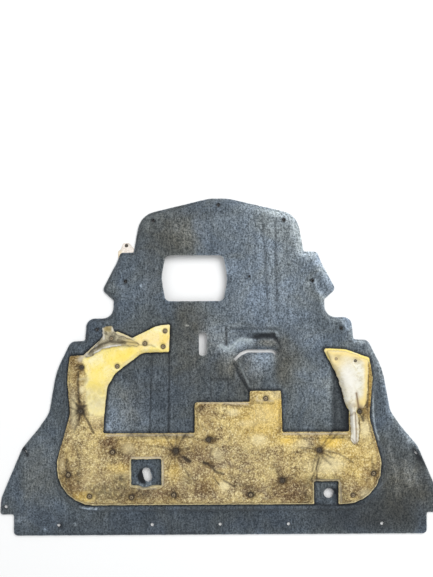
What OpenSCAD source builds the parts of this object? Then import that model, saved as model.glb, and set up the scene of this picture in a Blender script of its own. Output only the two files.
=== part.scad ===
// Engine splash shield: a pressed felt sheet with a riveted foam pad, foam side up.
// The origin is under the middle of the sheet, +X is to the right, +Y is to the rear and +Z is up.

/* [Sheet outline] */
// Width of the felt sheet over its two ears
sheet_w = 1054; // [1040:1:1070]
// Length of the felt sheet from the front edge to the rear edge
sheet_l = 804; // [796:1:812]
// Thickness of the pressed felt
felt_t = 4; // [3:0.1:5]
// Width of the flat stretch of the rear edge
rear_flat_w = 44; // [30:1:60]
// Width between the rear corners
rear_w = 374; // [366:1:382]
// How far the rear corners lie in front of the rear edge
rear_drop = 39; // [34:1:42]
// Width at the root of the rear part, where the shoulders start
neck_w = 406; // [400:1:414]
// Width over the points of the upper shoulders
shoulder_w = 558; // [550:1:570]
// Width between the side scallops
waist_w = 504; // [498:1:510]
// Length of a side scallop
scallop_l = 44; // [40:1:50]
// Width over the lower shoulders
step_w = 632; // [624:1:640]
// Width over the flanks beside the pad
flank_w = 780; // [774:1:790]
// Width of the front strip
front_w = 988; // [980:1:998]
// Length of an ear from its front edge to the front edge of the sheet
ear_setback = 51; // [48:1:56]

/* [Raised field] */
// Height of the raised field over the front strip
field_h = 12; // [10:0.5:14]
// Width of the flat lip outside the turned-down rim
rim_lip = 2; // [1:0.5:3]
// Width of the sloping rim of the field
rim_run = 8; // [7:0.5:9]
// Height of the rear ridge over the field
ridge_h = 4; // [2:0.5:6]
// Depth of the bay between the arms of the pad
bay_depth = 4; // [3:0.5:5]
// Width of the sloping sides of the ridge
soft_run = 12; // [8:1:14]
// Width of the sloping sides of the bay
bay_run = 11; // [8:1:12]
// Height of the rib in the left half of the bay
rib_h = 3; // [2:0.5:3.5]
// Width of the rib in the left half of the bay
rib_w = 45; // [36:1:50]

/* [Louvre] */
// Width of the sunk pan of the louvre
pan_w = 132; // [124:1:136]
// Length of the sunk pan of the louvre
pan_l = 66; // [60:1:70]
// Depth of the sunk pan below the field
pan_depth = 10; // [8:0.5:10.5]
// Width of the curved air slot
air_slot_w = 7.5; // [5:0.5:9]
// Height of the hood's crest over the field
hood_h = 6; // [4:0.5:7]

/* [Openings] */
// Width of the window at its middle
window_w = 158; // [146:1:164]
// Length of the window
window_l = 109; // [100:1:116]
// How much narrower the window is at each end, on each side
window_taper = 10; // [6:1:14]
// Width of the long slot
long_slot_w = 19; // [14:1:24]
// Length of the long slot
long_slot_l = 56; // [46:1:60]
// Diameter of the left drain at the foot of its funnel
left_drain_d = 36; // [32:1:40]
// Width of the oval opening in the left drain
left_oval_w = 20; // [16:1:22]
// Diameter of the right drain hole
right_drain_d = 24; // [20:1:28]
// Width of the sloping funnel round each drain
funnel_run = 6; // [4:0.5:7]
// Depth of the funnel round each drain
funnel_depth = 6; // [4:0.5:7]

/* [Bolt holes] */
// Diameter of the bolt holes
bolt_d = 8.5; // [6:0.5:9]
// Diameter of the small locating hole
locating_d = 5; // [4:0.5:8]
// Distance of the middle rear bolt hole from the rear edge
rear_bolt_in = 16.5; // [15.5:0.5:20]
// Distance of the front row of bolt holes from the front edge
front_bolt_in = 24; // [16:1:30]
// Distance between the three inner holes of the front row
front_pitch = 163.5; // [150:0.5:175]
// Distance of the outer front bolt holes from the ends of the front strip
front_end_in = 107; // [90:1:120]
// Distance of the ear bolt holes from the tips of the ears
ear_bolt_in = 14; // [11:1:18]

/* [Foam pad] */
// Thickness of the foam pad
pad_t = 12; // [10:0.5:16]
// Thickness of the pressed edge of the pad
pad_edge_t = 5; // [3:0.5:5]
// Width of the sloping edge of the pad
pad_bevel = 8; // [5:0.5:9]
// Thickness left under each rivet
pressed_t = 6; // [5.5:0.5:7]
// Width of the dimple round each rivet, at the top of the pad
dimple_d = 18; // [16:1:20]
// Thickness of the torn facing skin
skin_t = 1.2; // [0.8:0.1:1.6]

/* [Rivets] */
// Diameter of a rivet's shank
shank_d = 5; // [4:0.5:5.5]
// Diameter of the bore down a rivet
rivet_bore_d = 2.6; // [2:0.2:3]
// Diameter of the flat head under the felt
head_d = 13; // [10:0.5:14]
// Thickness of the flat head under the felt
head_t = 1.4; // [1:0.1:1.6]
// Diameter of the rolled tail over the washer
tail_d = 7.6; // [7:0.1:8.5]
// Thickness of the rolled tail over the washer
tail_t = 1; // [0.8:0.1:1.4]
// Diameter of a washer
washer_d = 10.6; // [9.5:0.1:12]
// Thickness of a washer
washer_t = 1; // [0.6:0.1:1.4]
// Clearance between pieces that lie on each other
gap = 0.2; // [0.1:0.05:0.3]
// Clearance of a shank in its hole, on the radius
shank_gap = 0.3; // [0.2:0.05:0.5]

/* [Pale tab] */
// Thickness of the pale tab under the left shoulder
tab_t = 1.2; // [0.8:0.1:1.4]
// Diameter of the stud in the pale tab
stud_d = 8.5; // [7:0.5:10]

/* [Hidden] */
$fn = 40;
// Places along the sheet, from the middle, that do not move with its length
neck_y = 274;
nose_y = 184;
scallop_y = 160;
step_y = 63;
flank_y = -8;
hollow_y = -109;
wing_y = -144;
wing_tip_y = -193;
ear_y = -312;
rear_y = sheet_l / 2;
front_y = -sheet_l / 2;

// Heights of the felt's upper face
field_z = felt_t + field_h;
bay_z = field_z - bay_depth;
pan_z = field_z - pan_depth;
pad_z = field_z + gap;
deep = 60;

// Right half of the sheet's outline, from the front to the rear, as corners [x, y, radius]
function half_outline() = [
    [front_w / 2, front_y, 10],
    [front_w / 2, front_y + ear_setback, 5],
    [sheet_w / 2, front_y + ear_setback, 7],
    [sheet_w / 2 - 3, ear_y, 60],
    [sheet_w / 2 - 54, wing_tip_y, 30],
    [sheet_w / 2 - 95, wing_y, 50],
    [flank_w / 2 + 18, hollow_y, 40],
    [flank_w / 2, flank_y, 150],
    [flank_w / 2 - 35, step_y - 2, 16],
    [step_w / 2 + 5, step_y, 6],
    [step_w / 2, scallop_y - scallop_l, 20],
    [waist_w / 2, scallop_y - scallop_l, 28],
    [waist_w / 2, scallop_y, 6],
    [shoulder_w / 2, nose_y, 11],
    [shoulder_w / 2 - 35, nose_y + 66, 20],
    [shoulder_w / 2 - 44, neck_y - 1, 8],
    [neck_w / 2, neck_y, 5],
    [rear_w / 2, rear_y - rear_drop, 50],
    [rear_flat_w / 2, rear_y, 60],
];

// Right half of the raised field's foot: its own front part, then the sheet's rear part
field_front_y = -348;
function half_field() = concat([
    [404, field_front_y, 104],
    [404, -232, 60],
    [376, -150, 40],
    [376, 14, 40],
], [for (c = half_outline()) if (c[1] > step_y - 5) c]);

function reversed(list) = [for (i = [len(list) - 1 : -1 : 0]) list[i]];
function mirrored(half) = concat(half, [for (c = reversed(half)) [-c[0], c[1], c[2]]]);

// Corners of a rectangle from x[0] to x[1] and from y[0] to y[1], all with the radius r
function rect(x, y, r) = [[x[0], y[0], r], [x[1], y[0], r], [x[1], y[1], r], [x[0], y[1], r]];

// Outline of the foam pad, counter-clockwise, as corners [x, y, radius]
pad_front_y = -325;
pad_left_x = -386;
pad_right_x = 382;
bay_side = [
    [246, 43, 4], [284, -29, 60], [298, -88, 20], [307, -104, 3], [307, -155, 4], [148, -155, 4],
    [145, -57, 3], [72, -57, 4], [72, -83, 3], [-59, -83, 6], [-59, -156, 4], [-277, -156, 4],
    [-275, -120, 20], [-267, -46, 30], [-248, -13, 24], [-183, 36, 30],
];
arm_ends = [
    [-120, 37, 3], [-117, 102, 3], [-150, 98, 60], [-206, 70, 6], [-242, 86, 8], [-281, 67, 14],
    [-322, 30, 4], [-354, 28, 4],
];
left_side = [[-361, -22, 120], [-354, -108, 60], [pad_left_x, -220, 60], [pad_left_x, pad_front_y, 88]];
right_side = [[pad_right_x, pad_front_y, 88], [pad_right_x, -223, 60], [354, -120, 50], [363, -27, 120]];
right_end = [[355, 20, 5], [322, 32, 30], [296, 41, 40]];
notch_x = [222, 281];
notch_y = -271;
notch = [
    [notch_x[0], pad_front_y, 2], [notch_x[0], notch_y, 3],
    [notch_x[1], notch_y, 3], [notch_x[1], pad_front_y, 2],
];
pad_corners = concat(bay_side, arm_ends, left_side, notch, right_side, right_end);

// Cut-out of the pad round the left drain hole, with a lip that bulges to the front
left_cutout = [
    [-211, -279, 4], [-193, -280, 14], [-180, -285, 18], [-160, -280, 14], [-138, -279, 4],
    [-138, -214, 4], [-211, -214, 4],
];

left_drain = [-180, -256];
left_oval = [left_drain + [8, -7], left_drain + [4, 7]];
right_drain = [259, -303];
window_at = [-58, 211.5];
long_slot_x = -39;
long_slot_y = 55;
long_slot_r = 6;
locating_at = [72, 215];
louvre_x = 82;
pan_front_y = 28;

// Mouth of the bay between the arms. Its front side lies under the pad, and it passes round the pad's tab
bay_mouth = [
    [-271, -170, 12], [-66, -170, 12], [-66, -96, 10], [66, -96, 10], [66, -52, 8], [151, -52, 8],
    [153, -170, 10], [302, -170, 12], [302, -106, 20], [293, -90, 20], [279, -31, 60], [243, 38, 16],
    [-181, 31, 30], [-244, -16, 24], [-262, -48, 30], [-270, -120, 20],
];

// Centre line of the curved air slot
air_slot_path = [[36, 16], [43, 23], [51, 30], [59, 34], [68, 37], [125, 37], [132, 34], [136, 29]];

// Ramp behind the air slot: the points of its front line, and those of its crest
ramp_front = [[146, 22], [135, 31], [126, 36], [68, 36], [51, 29], [42, 21], [24, 8]];
ramp_crest = [[154, 36], [140, 54], [130, 66], [63, 67], [46, 65], [32, 54], [10, 40]];
ramp_drop = 5;

ridge_foot = [[-168, 112, 24], [128, 112, 24], [104, 346, 30], [-20, 360, 60], [-168, 322, 24]];
rib_x = -145;
rib_run = 5;
rib_foot = rect([rib_x - rib_w / 2, rib_x + rib_w / 2], [-147, 32], 5);
pan_run = 5;

// Small pockets: one in the bay, two in the field at the front edge of the pad
pocket_mouth = rect([-21, 22], [-82, -31], 3);
pocket_depth = 3;
pocket_run = 2;
edge_pockets = [rect([-330, -292], [-332, -312], 4), rect([-175, -133], [-334, -314], 4)];
edge_pocket_depth = 4;
edge_pocket_run = 3;

// Bolt holes
rear_bolts = concat(
    [[0, rear_y - rear_bolt_in]],
    [for (s = [-1, 1]) [s * (rear_w / 2 - 32), rear_y - rear_drop - 14]]
);
shoulder_bolts = [for (s = [-1, 1]) [s * (shoulder_w / 2 - 57), nose_y + 21]];
step_bolts = [for (s = [-1, 1]) [s * (step_w / 2 - 26), step_y + 28]];
ear_bolts = [for (s = [-1, 1]) [s * (sheet_w / 2 - ear_bolt_in), front_y + ear_setback + 18]];
front_bolts = concat(
    [for (i = [-1 : 1]) [i * front_pitch, front_y + front_bolt_in]],
    [for (s = [-1, 1]) [s * (front_w / 2 - front_end_in), front_y + front_bolt_in]]
);
// Torn slots at the wing tips, as [start, end, width]
wing_slots = [
    [[-sheet_w / 2 + 61, wing_tip_y - 3], [-sheet_w / 2 + 65, wing_tip_y - 13], 7],
    [[sheet_w / 2 - 62, wing_tip_y - 11], [sheet_w / 2 - 53, wing_tip_y - 22], 8],
];

// Rivets as [x, y, layers of skin under the washer]
rivet_at = [
    [-128, 87, 0], [-133, 50, 0], [-176, 58, 0], [-255, 70, 1], [-242, 4, 0], [-325, 2, 0],
    [-329, -102, 0], [-359, -252, 0], [-254, -199, 0], [-104, -197, 0], [-309, -303, 0], [-210, -306, 0],
    [-110, -301, 0], [-27, -171, 0], [109, -74, 0], [235, -197, 0], [363, -253, 0], [314, -304, 0],
    [147, -269, 0], [72, -302, 0], [321, 14, 1], [276, 19, 1], [330, -106, 1],
];
tab_stud_at = [-neck_w / 2 - 18, neck_y + 17];

// Torn facing skins: on the left arm with a scrap that sticks out, and on the right arm with a hanging tail
left_skin = [
    [-322, 24, 3], [-300, 30, 12], [-276, 46, 14], [-236, 54, 12], [-176, 52, 4], [-206, 68, 8],
    [-240, 79, 6], [-250, 88, 3], [-252, 99, 5], [-278, 97, 4], [-276, 78, 5], [-284, 62, 8],
];
right_skin = [
    [282, -29, 60], [298, -88, 14], [308, -106, 4], [309, -172, 6], [318, -184, 5], [327, -173, 5],
    [329, -140, 10], [324, -116, 5], [344, -88, 6], [350, -32, 30], [350, 16, 5], [322, 29, 30],
    [296, 38, 40], [252, 40, 4],
];
// The pale tab, as corners round its stud
pale_tab_shape = [
    [-20, -31, 3], [15, -31, 3], [18, -8, 2], [6, 6, 5],
    [-8, 6, 6], [-12, -8, 4], [-20, -14, 2],
];
pale_tab_corners = [for (c = pale_tab_shape) [tab_stud_at[0] + c[0], tab_stud_at[1] + c[1], c[2]]];

function two_digits(n) = n < 10 ? str("0", n) : str(n);
function rivet_name(i) = str("rivet_", two_digits(i + 1));
function washer_name(i) = str("washer_", two_digits(i + 1));

// Outlines: rounds each corner [x, y, r] with an arc, in steps of about 15 degrees
function xy(c) = [c[0], c[1]];
function unit(v) = v / norm(v);
function left_of(v) = [-v[1], v[0]];
function cross2(a, b) = a[0] * b[1] - a[1] * b[0];
function spin(v, a) = [v[0] * cos(a) - v[1] * sin(a), v[0] * sin(a) + v[1] * cos(a)];
function turn(a, b) = atan2(cross2(a, b), a * b);
function corner_arc(before, c, after) =
    let (a = unit(xy(c) - xy(before)), b = unit(xy(after) - xy(c)), t = turn(a, b), side = sign(t),
         start = xy(c) - a * c[2] * tan(abs(t) / 2), centre = start + left_of(a) * side * c[2],
         steps = max(1, ceil(abs(t) / 15)))
    [for (k = [0 : steps]) centre + spin(start - centre, t * k / steps)];
function rounded(corners) =
    let (n = len(corners))
    [for (i = [0 : n - 1]) each corner_arc(corners[(i + n - 1) % n], corners[i], corners[(i + 1) % n])];

// Gives every outward corner at least the radius r, so that the outline can be drawn in by less than that
function eased(corners, r) =
    let (n = len(corners))
    [for (i = [0 : n - 1])
        let (a = xy(corners[i]) - xy(corners[(i + n - 1) % n]), b = xy(corners[(i + 1) % n]) - xy(corners[i]))
        [corners[i][0], corners[i][1], cross2(a, b) > 0 ? max(corners[i][2], r) : corners[i][2]]];

// Draws a closed outline of points in by d
function drawn_in(points, d) =
    let (n = len(points))
    [for (i = [0 : n - 1])
        let (a = left_of(unit(points[i] - points[(i + n - 1) % n])),
             b = left_of(unit(points[(i + 1) % n] - points[i])))
        points[i] + (a + b) * d / (1 + a * b)];

// Moves an open line of points sideways by d, to its left
function beside(points, d) =
    let (n = len(points))
    [for (i = [0 : n - 1])
        let (a = left_of(unit(points[max(i, 1)] - points[max(i, 1) - 1])),
             b = left_of(unit(points[min(i, n - 2) + 1] - points[min(i, n - 2)])))
        points[i] + (a + b) * d / (1 + a * b)];

function at_z(points, z) = [for (p = points) [p[0], p[1], z]];

// Triangles of a flat outline of any shape, as indices into p, found by cutting off one ear at a time
function in_triangle(q, a, b, c) =
    cross2(b - a, q - a) >= 0 && cross2(c - b, q - b) >= 0 && cross2(a - c, q - c) >= 0;
function three(idx, k) = let (n = len(idx)) [idx[(k + n - 1) % n], idx[k], idx[(k + 1) % n]];
function is_ear(p, idx, k) =
    let (t = three(idx, k), a = p[t[0]], b = p[t[1]], c = p[t[2]])
    cross2(b - a, c - b) > 0
        && len([for (q = idx) if (q != t[0] && q != t[1] && q != t[2] && in_triangle(p[q], a, b, c)) q]) == 0;
function first_ear(p, idx, k) = k >= len(idx) - 1 || is_ear(p, idx, k) ? k : first_ear(p, idx, k + 1);
function ears(p, idx) =
    len(idx) == 3 ? [idx] :
    let (k = first_ear(p, idx, 0))
    concat([three(idx, k)], ears(p, [for (i = [0 : len(idx) - 1]) if (i != k) idx[i]]));
function cap(ring) = ears([for (q = ring) xy(q)], [for (i = [0 : len(ring) - 1]) i]);

// Solid between two closed rings of points, a low one and a high one
module loft(low, high) {
    n = len(low);
    polyhedron(
        points = concat(low, high),
        faces = concat(
            cap(low),
            [for (i = [0 : n - 1]) let (j = (i + 1) % n) each [[i, n + i, n + j], [i, n + j, j]]],
            [for (t = cap(high)) [n + t[2], n + t[1], n + t[0]]]
        )
    );
}

// Form that stands h over the level z, with sides that slope in by run. It is rooted 1 mm below z
module raised(corners, z, h, run) {
    foot = rounded(eased(corners, run + 2));
    loft(at_z(drawn_in(foot, -run / h), z - 1), at_z(drawn_in(foot, run), z + h));
}

// Form to cut away: it is d deep under the level z, with sides that slope in by run
module sunk(corners, z, d, run) {
    mouth = rounded(eased(corners, run + 2));
    loft(at_z(drawn_in(mouth, run), z - d), at_z(drawn_in(mouth, -run / d), z + 1));
}

module outline_prism(corners, z, h) {
    translate([0, 0, z]) linear_extrude(h) polygon(rounded(corners));
}

module drop(at, d) {
    translate([at[0], at[1], -deep]) cylinder(h = 2 * deep, d = d);
}

// Slot with round ends, w wide, between the middles of its two ends
module drop_slot(start, end, w) {
    a = unit(end - start) * w / 2;
    b = left_of(a);
    r = 0.98 * w / 2;
    corners = [start - a - b, end + a - b, end + a + b, start - a + b];
    outline_prism([for (c = corners) [c[0], c[1], r]], -deep, 2 * deep);
}

// Solid through a row of four-sided sections
module swept(sections) {
    last = 4 * (len(sections) - 1);
    ends = [[0, 1, 2], [0, 2, 3], [last + 2, last + 1, last], [last + 3, last + 2, last]];
    sides = [
        for (i = [0 : 4 : last - 4], k = [0 : 3])
            let (j = (k + 1) % 4)
            each [[i + k, i + 4 + k, i + 4 + j], [i + k, i + 4 + j, i + j]]
    ];
    polyhedron(points = [for (s = sections) each s], faces = concat(ends, sides));
}

// Ramp of the louvre: it climbs from under the air slot to its crest, and drops steeply behind
module ramp() {
    crest_foot = beside(ramp_crest, -ramp_drop);
    swept([for (i = [0 : len(ramp_crest) - 1]) [
        [ramp_front[i][0], ramp_front[i][1], pan_z - 1],
        [ramp_crest[i][0], ramp_crest[i][1], field_z - 1],
        [crest_foot[i][0], crest_foot[i][1], felt_t - 1],
        [ramp_front[i][0], ramp_front[i][1], felt_t - 1],
    ]]);
}

// Hood in front of the air slot: it falls from its crest to the level of the field under the pad's tab
module hood() {
    back_y = -64;
    crest_y = 26;
    level_y = -53;
    foot = [[66, back_y], [154, back_y], [145, 20], [128, 34.5], [66, 34.5], [38, 13]];
    top = [[74, back_y], [140, back_y], [132, 12], [120, crest_y], [68, crest_y], [47, 10]];
    rise = hood_h / (crest_y - level_y);
    loft(at_z(foot, felt_t + 1), [for (p = top) [p[0], p[1], field_z + (p[1] - level_y) * rise]]);
}

module funnel(at, d) {
    translate([at[0], at[1], field_z - funnel_depth]) {
        grow = 2 * funnel_run / funnel_depth;
        cylinder(h = funnel_depth + 1, d1 = d + 2, d2 = d + 2 + 2 * funnel_run + grow);
    }
}

// Everything under the felt's upper face, without the flat sheet itself
module pressed_form() {
    field = rounded(eased(mirrored(half_field()), rim_lip + rim_run + 3));
    foot = drawn_in(field, rim_lip - rim_run / field_h);
    difference() {
        union() {
            loft(at_z(foot, felt_t - 1), at_z(drawn_in(field, rim_lip + rim_run), field_z));
            raised(ridge_foot, field_z, ridge_h, soft_run);
        }
        sunk(bay_mouth, field_z, bay_depth, bay_run);
        sunk(louvre_mouth(), field_z, pan_depth, pan_run);
        sunk(pocket_mouth, bay_z, pocket_depth, pocket_run);
        for (mouth = edge_pockets) sunk(mouth, field_z, edge_pocket_depth, edge_pocket_run);
        funnel(left_drain, left_drain_d);
        funnel(right_drain, right_drain_d);
    }
    raised(rib_foot, bay_z, rib_h, rib_run);
    ramp();
    hood();
}

function louvre_mouth() = [
    [louvre_x - pan_w / 2, pan_front_y, 8],
    [louvre_x + pan_w / 2, pan_front_y, 8],
    [louvre_x + pan_w / 2, pan_front_y + pan_l, 16],
    [louvre_x - pan_w / 2, pan_front_y + pan_l, 16],
];
function window_corners() =
    let (x = window_w / 2, y = window_l / 2, end_x = x - window_taper)
    [for (c = [[-end_x, -y, 13], [end_x, -y, 13], [x, 0, 90], [end_x, y, 13], [-end_x, y, 13], [-x, 0, 90]])
        [window_at[0] + c[0], window_at[1] + c[1], c[2]]];

function air_slot() =
    concat(beside(air_slot_path, air_slot_w / 2), reversed(beside(air_slot_path, -air_slot_w / 2)));

module felt_panel() {
    long_slot = rect([-long_slot_w / 2, long_slot_w / 2], [-long_slot_l / 2, long_slot_l / 2], long_slot_r);
    all_bolts = concat(rear_bolts, shoulder_bolts, step_bolts, ear_bolts, front_bolts);
    color([0.30, 0.33, 0.37]) difference() {
        union() {
            outline_prism(mirrored(half_outline()), 0, felt_t);
            pressed_form();
        }
        translate([0, 0, -felt_t]) pressed_form();
        outline_prism(window_corners(), -deep, 2 * deep);
        translate([long_slot_x, long_slot_y, 0]) outline_prism(long_slot, -deep, 2 * deep);
        translate([0, 0, -deep]) linear_extrude(2 * deep) polygon(air_slot());
        drop_slot(left_oval[0], left_oval[1], left_oval_w);
        drop(right_drain, right_drain_d);
        drop(locating_at, locating_d);
        for (at = all_bolts) drop(at, bolt_d);
        for (s = wing_slots) drop_slot(s[0], s[1], s[2]);
        for (at = rivet_at) drop(at, shank_d + 2 * shank_gap);
        translate([0, 0, -deep]) linear_extrude(deep + tab_t + gap)
            polygon(drawn_in(rounded(pale_tab_corners), -2 * gap));
    }
}

// Hole for a rivet with the dimple round it, lifted by z
module dimple(z = 0) {
    hole_r = shank_d / 2 + shank_gap;
    floor_z = pad_z + pressed_t + z;
    top_z = pad_z + pad_t + z;
    floor_r = washer_d / 2 + 1.5;
    flare = (dimple_d / 2 - floor_r) / (top_z - floor_z);
    rotate_extrude() polygon([
        [0, 0], [hole_r, 0], [hole_r, floor_z], [floor_r, floor_z],
        [dimple_d / 2 + flare, top_z + 1], [dimple_d / 2 + flare, top_z + deep], [0, top_z + deep],
    ]);
}

// The bevel of the pad runs on to 1 mm over its top, and is cut off level there
module foam_pad() {
    slope = pad_bevel / (pad_t - pad_edge_t);
    top_z = pad_z + pad_t;
    foot = rounded(pad_corners);
    top = drawn_in(rounded(eased(pad_corners, pad_bevel + 3)), pad_bevel + slope);
    color([0.82, 0.71, 0.44]) difference() {
        union() {
            outline_prism(pad_corners, pad_z, pad_edge_t);
            loft(at_z(foot, pad_z + pad_edge_t), at_z(top, top_z + 1));
        }
        translate([-sheet_w, -sheet_l, top_z]) cube([2 * sheet_w, 2 * sheet_l, deep]);
        outline_prism(left_cutout, 0, deep);
        for (at = rivet_at) translate([at[0], at[1], 0]) dimple();
    }
}

// A skin that lies on the pad, cut to an outline and pressed into the dimples of the rivets that hold it
module skin(corners, held_by) {
    top_z = pad_z + pad_t + gap;
    floor_z = pad_z + pressed_t + gap;
    difference() {
        union() {
            outline_prism(corners, top_z, skin_t);
            for (at = held_by) translate([at[0], at[1], floor_z])
                cylinder(h = top_z - floor_z + skin_t / 2, d1 = washer_d + 3, d2 = dimple_d);
        }
        for (at = held_by) translate([at[0], at[1], 0]) dimple(gap + skin_t);
    }
}

module facing_left() {
    color([0.68, 0.65, 0.57]) skin(left_skin, [for (at = rivet_at) if (at[2] > 0 && at[0] < 0) at]);
}

module facing_right() {
    color([0.88, 0.87, 0.82]) skin(right_skin, [for (at = rivet_at) if (at[2] > 0 && at[0] > 0) at]);
}

module pale_tab() {
    color([0.93, 0.90, 0.86]) difference() {
        outline_prism(pale_tab_corners, 0, tab_t);
        drop(tab_stud_at, shank_d + 2 * shank_gap);
    }
}

module tab_stud() {
    color([0.16, 0.14, 0.12]) translate([tab_stud_at[0], tab_stud_at[1], 0.1]) {
        cylinder(h = tab_t + gap, d = shank_d);
        translate([0, 0, tab_t + gap - 0.1]) cylinder(h = 1.2, d1 = stud_d, d2 = stud_d - 2);
    }
}

function washer_z(i) = pad_z + pressed_t + gap + rivet_at[i][2] * (skin_t + gap);

module washer(i) {
    at = [rivet_at[i][0], rivet_at[i][1], washer_z(i)];
    color([0.24, 0.22, 0.20]) translate(at) difference() {
        cylinder(h = washer_t, d = washer_d);
        translate([0, 0, -1]) cylinder(h = washer_t + 2, d = shank_d + 2 * shank_gap);
    }
}

// Tubular rivet: flat head under the felt, shank through felt and foam, tail rolled over the washer
module rivet(i) {
    under = field_z - felt_t - gap - head_t;
    over = washer_z(i) + washer_t + gap;
    at = [rivet_at[i][0], rivet_at[i][1], 0];
    color([0.42, 0.38, 0.32]) translate(at) rotate_extrude() polygon([
        [rivet_bore_d / 2, under + head_t / 2], [rivet_bore_d / 2, over + tail_t],
        [tail_d / 2 - tail_t / 2, over + tail_t], [tail_d / 2, over + tail_t / 2], [tail_d / 2, over],
        [shank_d / 2, over], [shank_d / 2, under + head_t], [head_d / 2, under + head_t],
        [head_d / 2, under + head_t / 2], [head_d / 2 - 1, under], [0, under], [0, under + head_t / 2],
    ]);
}

felt_panel();
foam_pad();
facing_left();
facing_right();
pale_tab();
tab_stud();
for (i = [0 : len(rivet_at) - 1]) rivet(i);
for (i = [0 : len(rivet_at) - 1]) washer(i);
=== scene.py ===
"""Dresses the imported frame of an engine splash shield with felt, foam, torn fleece and rivets.

Blender works in metres here. Plans, marks and heights are written in millimetres, in the frame's own axes:
+X to the right, +Y to the rear and +Z up, out of the foam side.
"""

import logging
import math
from collections.abc import Callable, Sequence
from dataclasses import dataclass, field
from enum import Enum
from typing import ClassVar

import bmesh
import bpy
import numpy as np
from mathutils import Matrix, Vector
from mathutils.bvhtree import BVHTree
from mathutils.geometry import delaunay_2d_cdt
from mathutils.kdtree import KDTree


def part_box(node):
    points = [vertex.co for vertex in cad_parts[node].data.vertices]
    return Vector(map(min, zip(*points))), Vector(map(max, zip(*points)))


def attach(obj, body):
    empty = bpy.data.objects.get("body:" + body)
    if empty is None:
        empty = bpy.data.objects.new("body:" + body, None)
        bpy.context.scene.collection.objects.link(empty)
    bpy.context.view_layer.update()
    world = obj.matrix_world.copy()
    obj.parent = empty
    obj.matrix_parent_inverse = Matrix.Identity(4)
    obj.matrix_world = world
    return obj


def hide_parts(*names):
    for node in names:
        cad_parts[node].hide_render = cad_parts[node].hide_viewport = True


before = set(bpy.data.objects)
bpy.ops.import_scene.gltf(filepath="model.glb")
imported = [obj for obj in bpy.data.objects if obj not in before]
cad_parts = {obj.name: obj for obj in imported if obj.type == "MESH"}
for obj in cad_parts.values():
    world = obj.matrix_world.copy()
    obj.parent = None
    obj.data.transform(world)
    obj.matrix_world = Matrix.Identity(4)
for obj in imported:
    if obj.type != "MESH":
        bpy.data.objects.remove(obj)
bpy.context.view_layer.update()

LOG = logging.getLogger("splash_shield")
MM = 0.001
Array = np.ndarray
Point = tuple[float, float]
Heights = Callable[[Array, Array], Array]
Colour = tuple[float, float, float]
Place = tuple[float, float, float]
NOISE_CELLS = 256
NOISE_START = (97.3, 41.7)


class Side(Enum):
    """The side from which a piece's surface is felt for by rays."""

    ABOVE = -1.0
    BELOW = 1.0


class Hold(Enum):
    LAID = "laid"


def between(table: Array, i: Array, j: Array, f: Array, g: Array) -> Array:
    """Blends the four entries of a table round each place. The table wraps round at its ends.

    Args:
        table: the entries.
        i, j: the row and column before each place.
        f, g: how far the place is from them to the next ones, from 0 to 1.

    Returns:
        The blend at each place.
    """
    rows, columns = table.shape
    near_j, far_j = j % columns, (j + 1) % columns
    low = table[i % rows, near_j] * (1 - f) + table[(i + 1) % rows, near_j] * f
    high = table[i % rows, far_j] * (1 - f) + table[(i + 1) % rows, far_j] * f
    return low * (1 - g) + high * g


def value_noise(x: Array, y: Array, scale: float, seed: int) -> Array:
    """Smooth noise in plan.

    Args:
        x, y: places in millimetres.
        scale: size of one lump, in millimetres.
        seed: picks the pattern.

    Returns:
        A value from -1 to 1 at each place.
    """
    table = np.random.default_rng(seed).uniform(-1.0, 1.0, (NOISE_CELLS, NOISE_CELLS))
    u, v = x / scale + NOISE_START[0], y / scale + NOISE_START[1]
    i, j = np.floor(u).astype(int), np.floor(v).astype(int)
    f, g = u - i, v - j
    return between(table, i, j, f * f * (3 - 2 * f), g * g * (3 - 2 * g))


def layered_noise(x: Array, y: Array, scale: float, octaves: int, seed: int) -> Array:
    """Noise with finer and finer layers, each half as strong.

    Args:
        x, y: places in millimetres.
        scale: size of the largest lumps, in millimetres.
        octaves: number of layers.
        seed: picks the pattern.

    Returns:
        A value from about -1 to 1 at each place.
    """
    total = sum(value_noise(x, y, scale / 2**k, seed + k) / 2**k for k in range(octaves))
    return total / (2 - 2.0 ** (1 - octaves))


def smooth_step(low: float, high: float, value: Array) -> Array:
    """Eased ramp from 0 at low to 1 at high."""
    t = np.clip((value - low) / (high - low), 0.0, 1.0)
    return t * t * (3 - 2 * t)


def line_distance(points: Sequence[Point], x: Array, y: Array) -> Array:
    """Distance from each place to the lines that join the points in order.

    Args:
        points: the ends of the lines, in millimetres.
        x, y: places in millimetres.

    Returns:
        The distances, in millimetres.
    """
    nearest = np.full(x.shape, np.inf)
    for (x0, y0), (x1, y1) in zip(points, points[1:]):
        dx, dy = x1 - x0, y1 - y0
        t = np.clip(((x - x0) * dx + (y - y0) * dy) / (dx * dx + dy * dy), 0.0, 1.0)
        nearest = np.minimum(nearest, np.hypot(x - x0 - t * dx, y - y0 - t * dy))
    return nearest


def enclosed(loops: Sequence[Sequence[Point]], x: Array, y: Array) -> Array:
    """Tells which places lie inside closed loops, where a loop within another is a hole.

    Args:
        loops: the loops' points in order, in millimetres.
        x, y: places in millimetres.

    Returns:
        True or False for each place.
    """
    crossings = np.zeros(x.shape, int)
    for loop in loops:
        for (x0, y0), (x1, y1) in zip(loop, np.roll(loop, -1, 0)):
            if y0 != y1:
                crossings += ((y0 > y) != (y1 > y)) & (x < (x1 - x0) * (y - y0) / (y1 - y0) + x0)
    return crossings % 2 == 1


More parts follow.
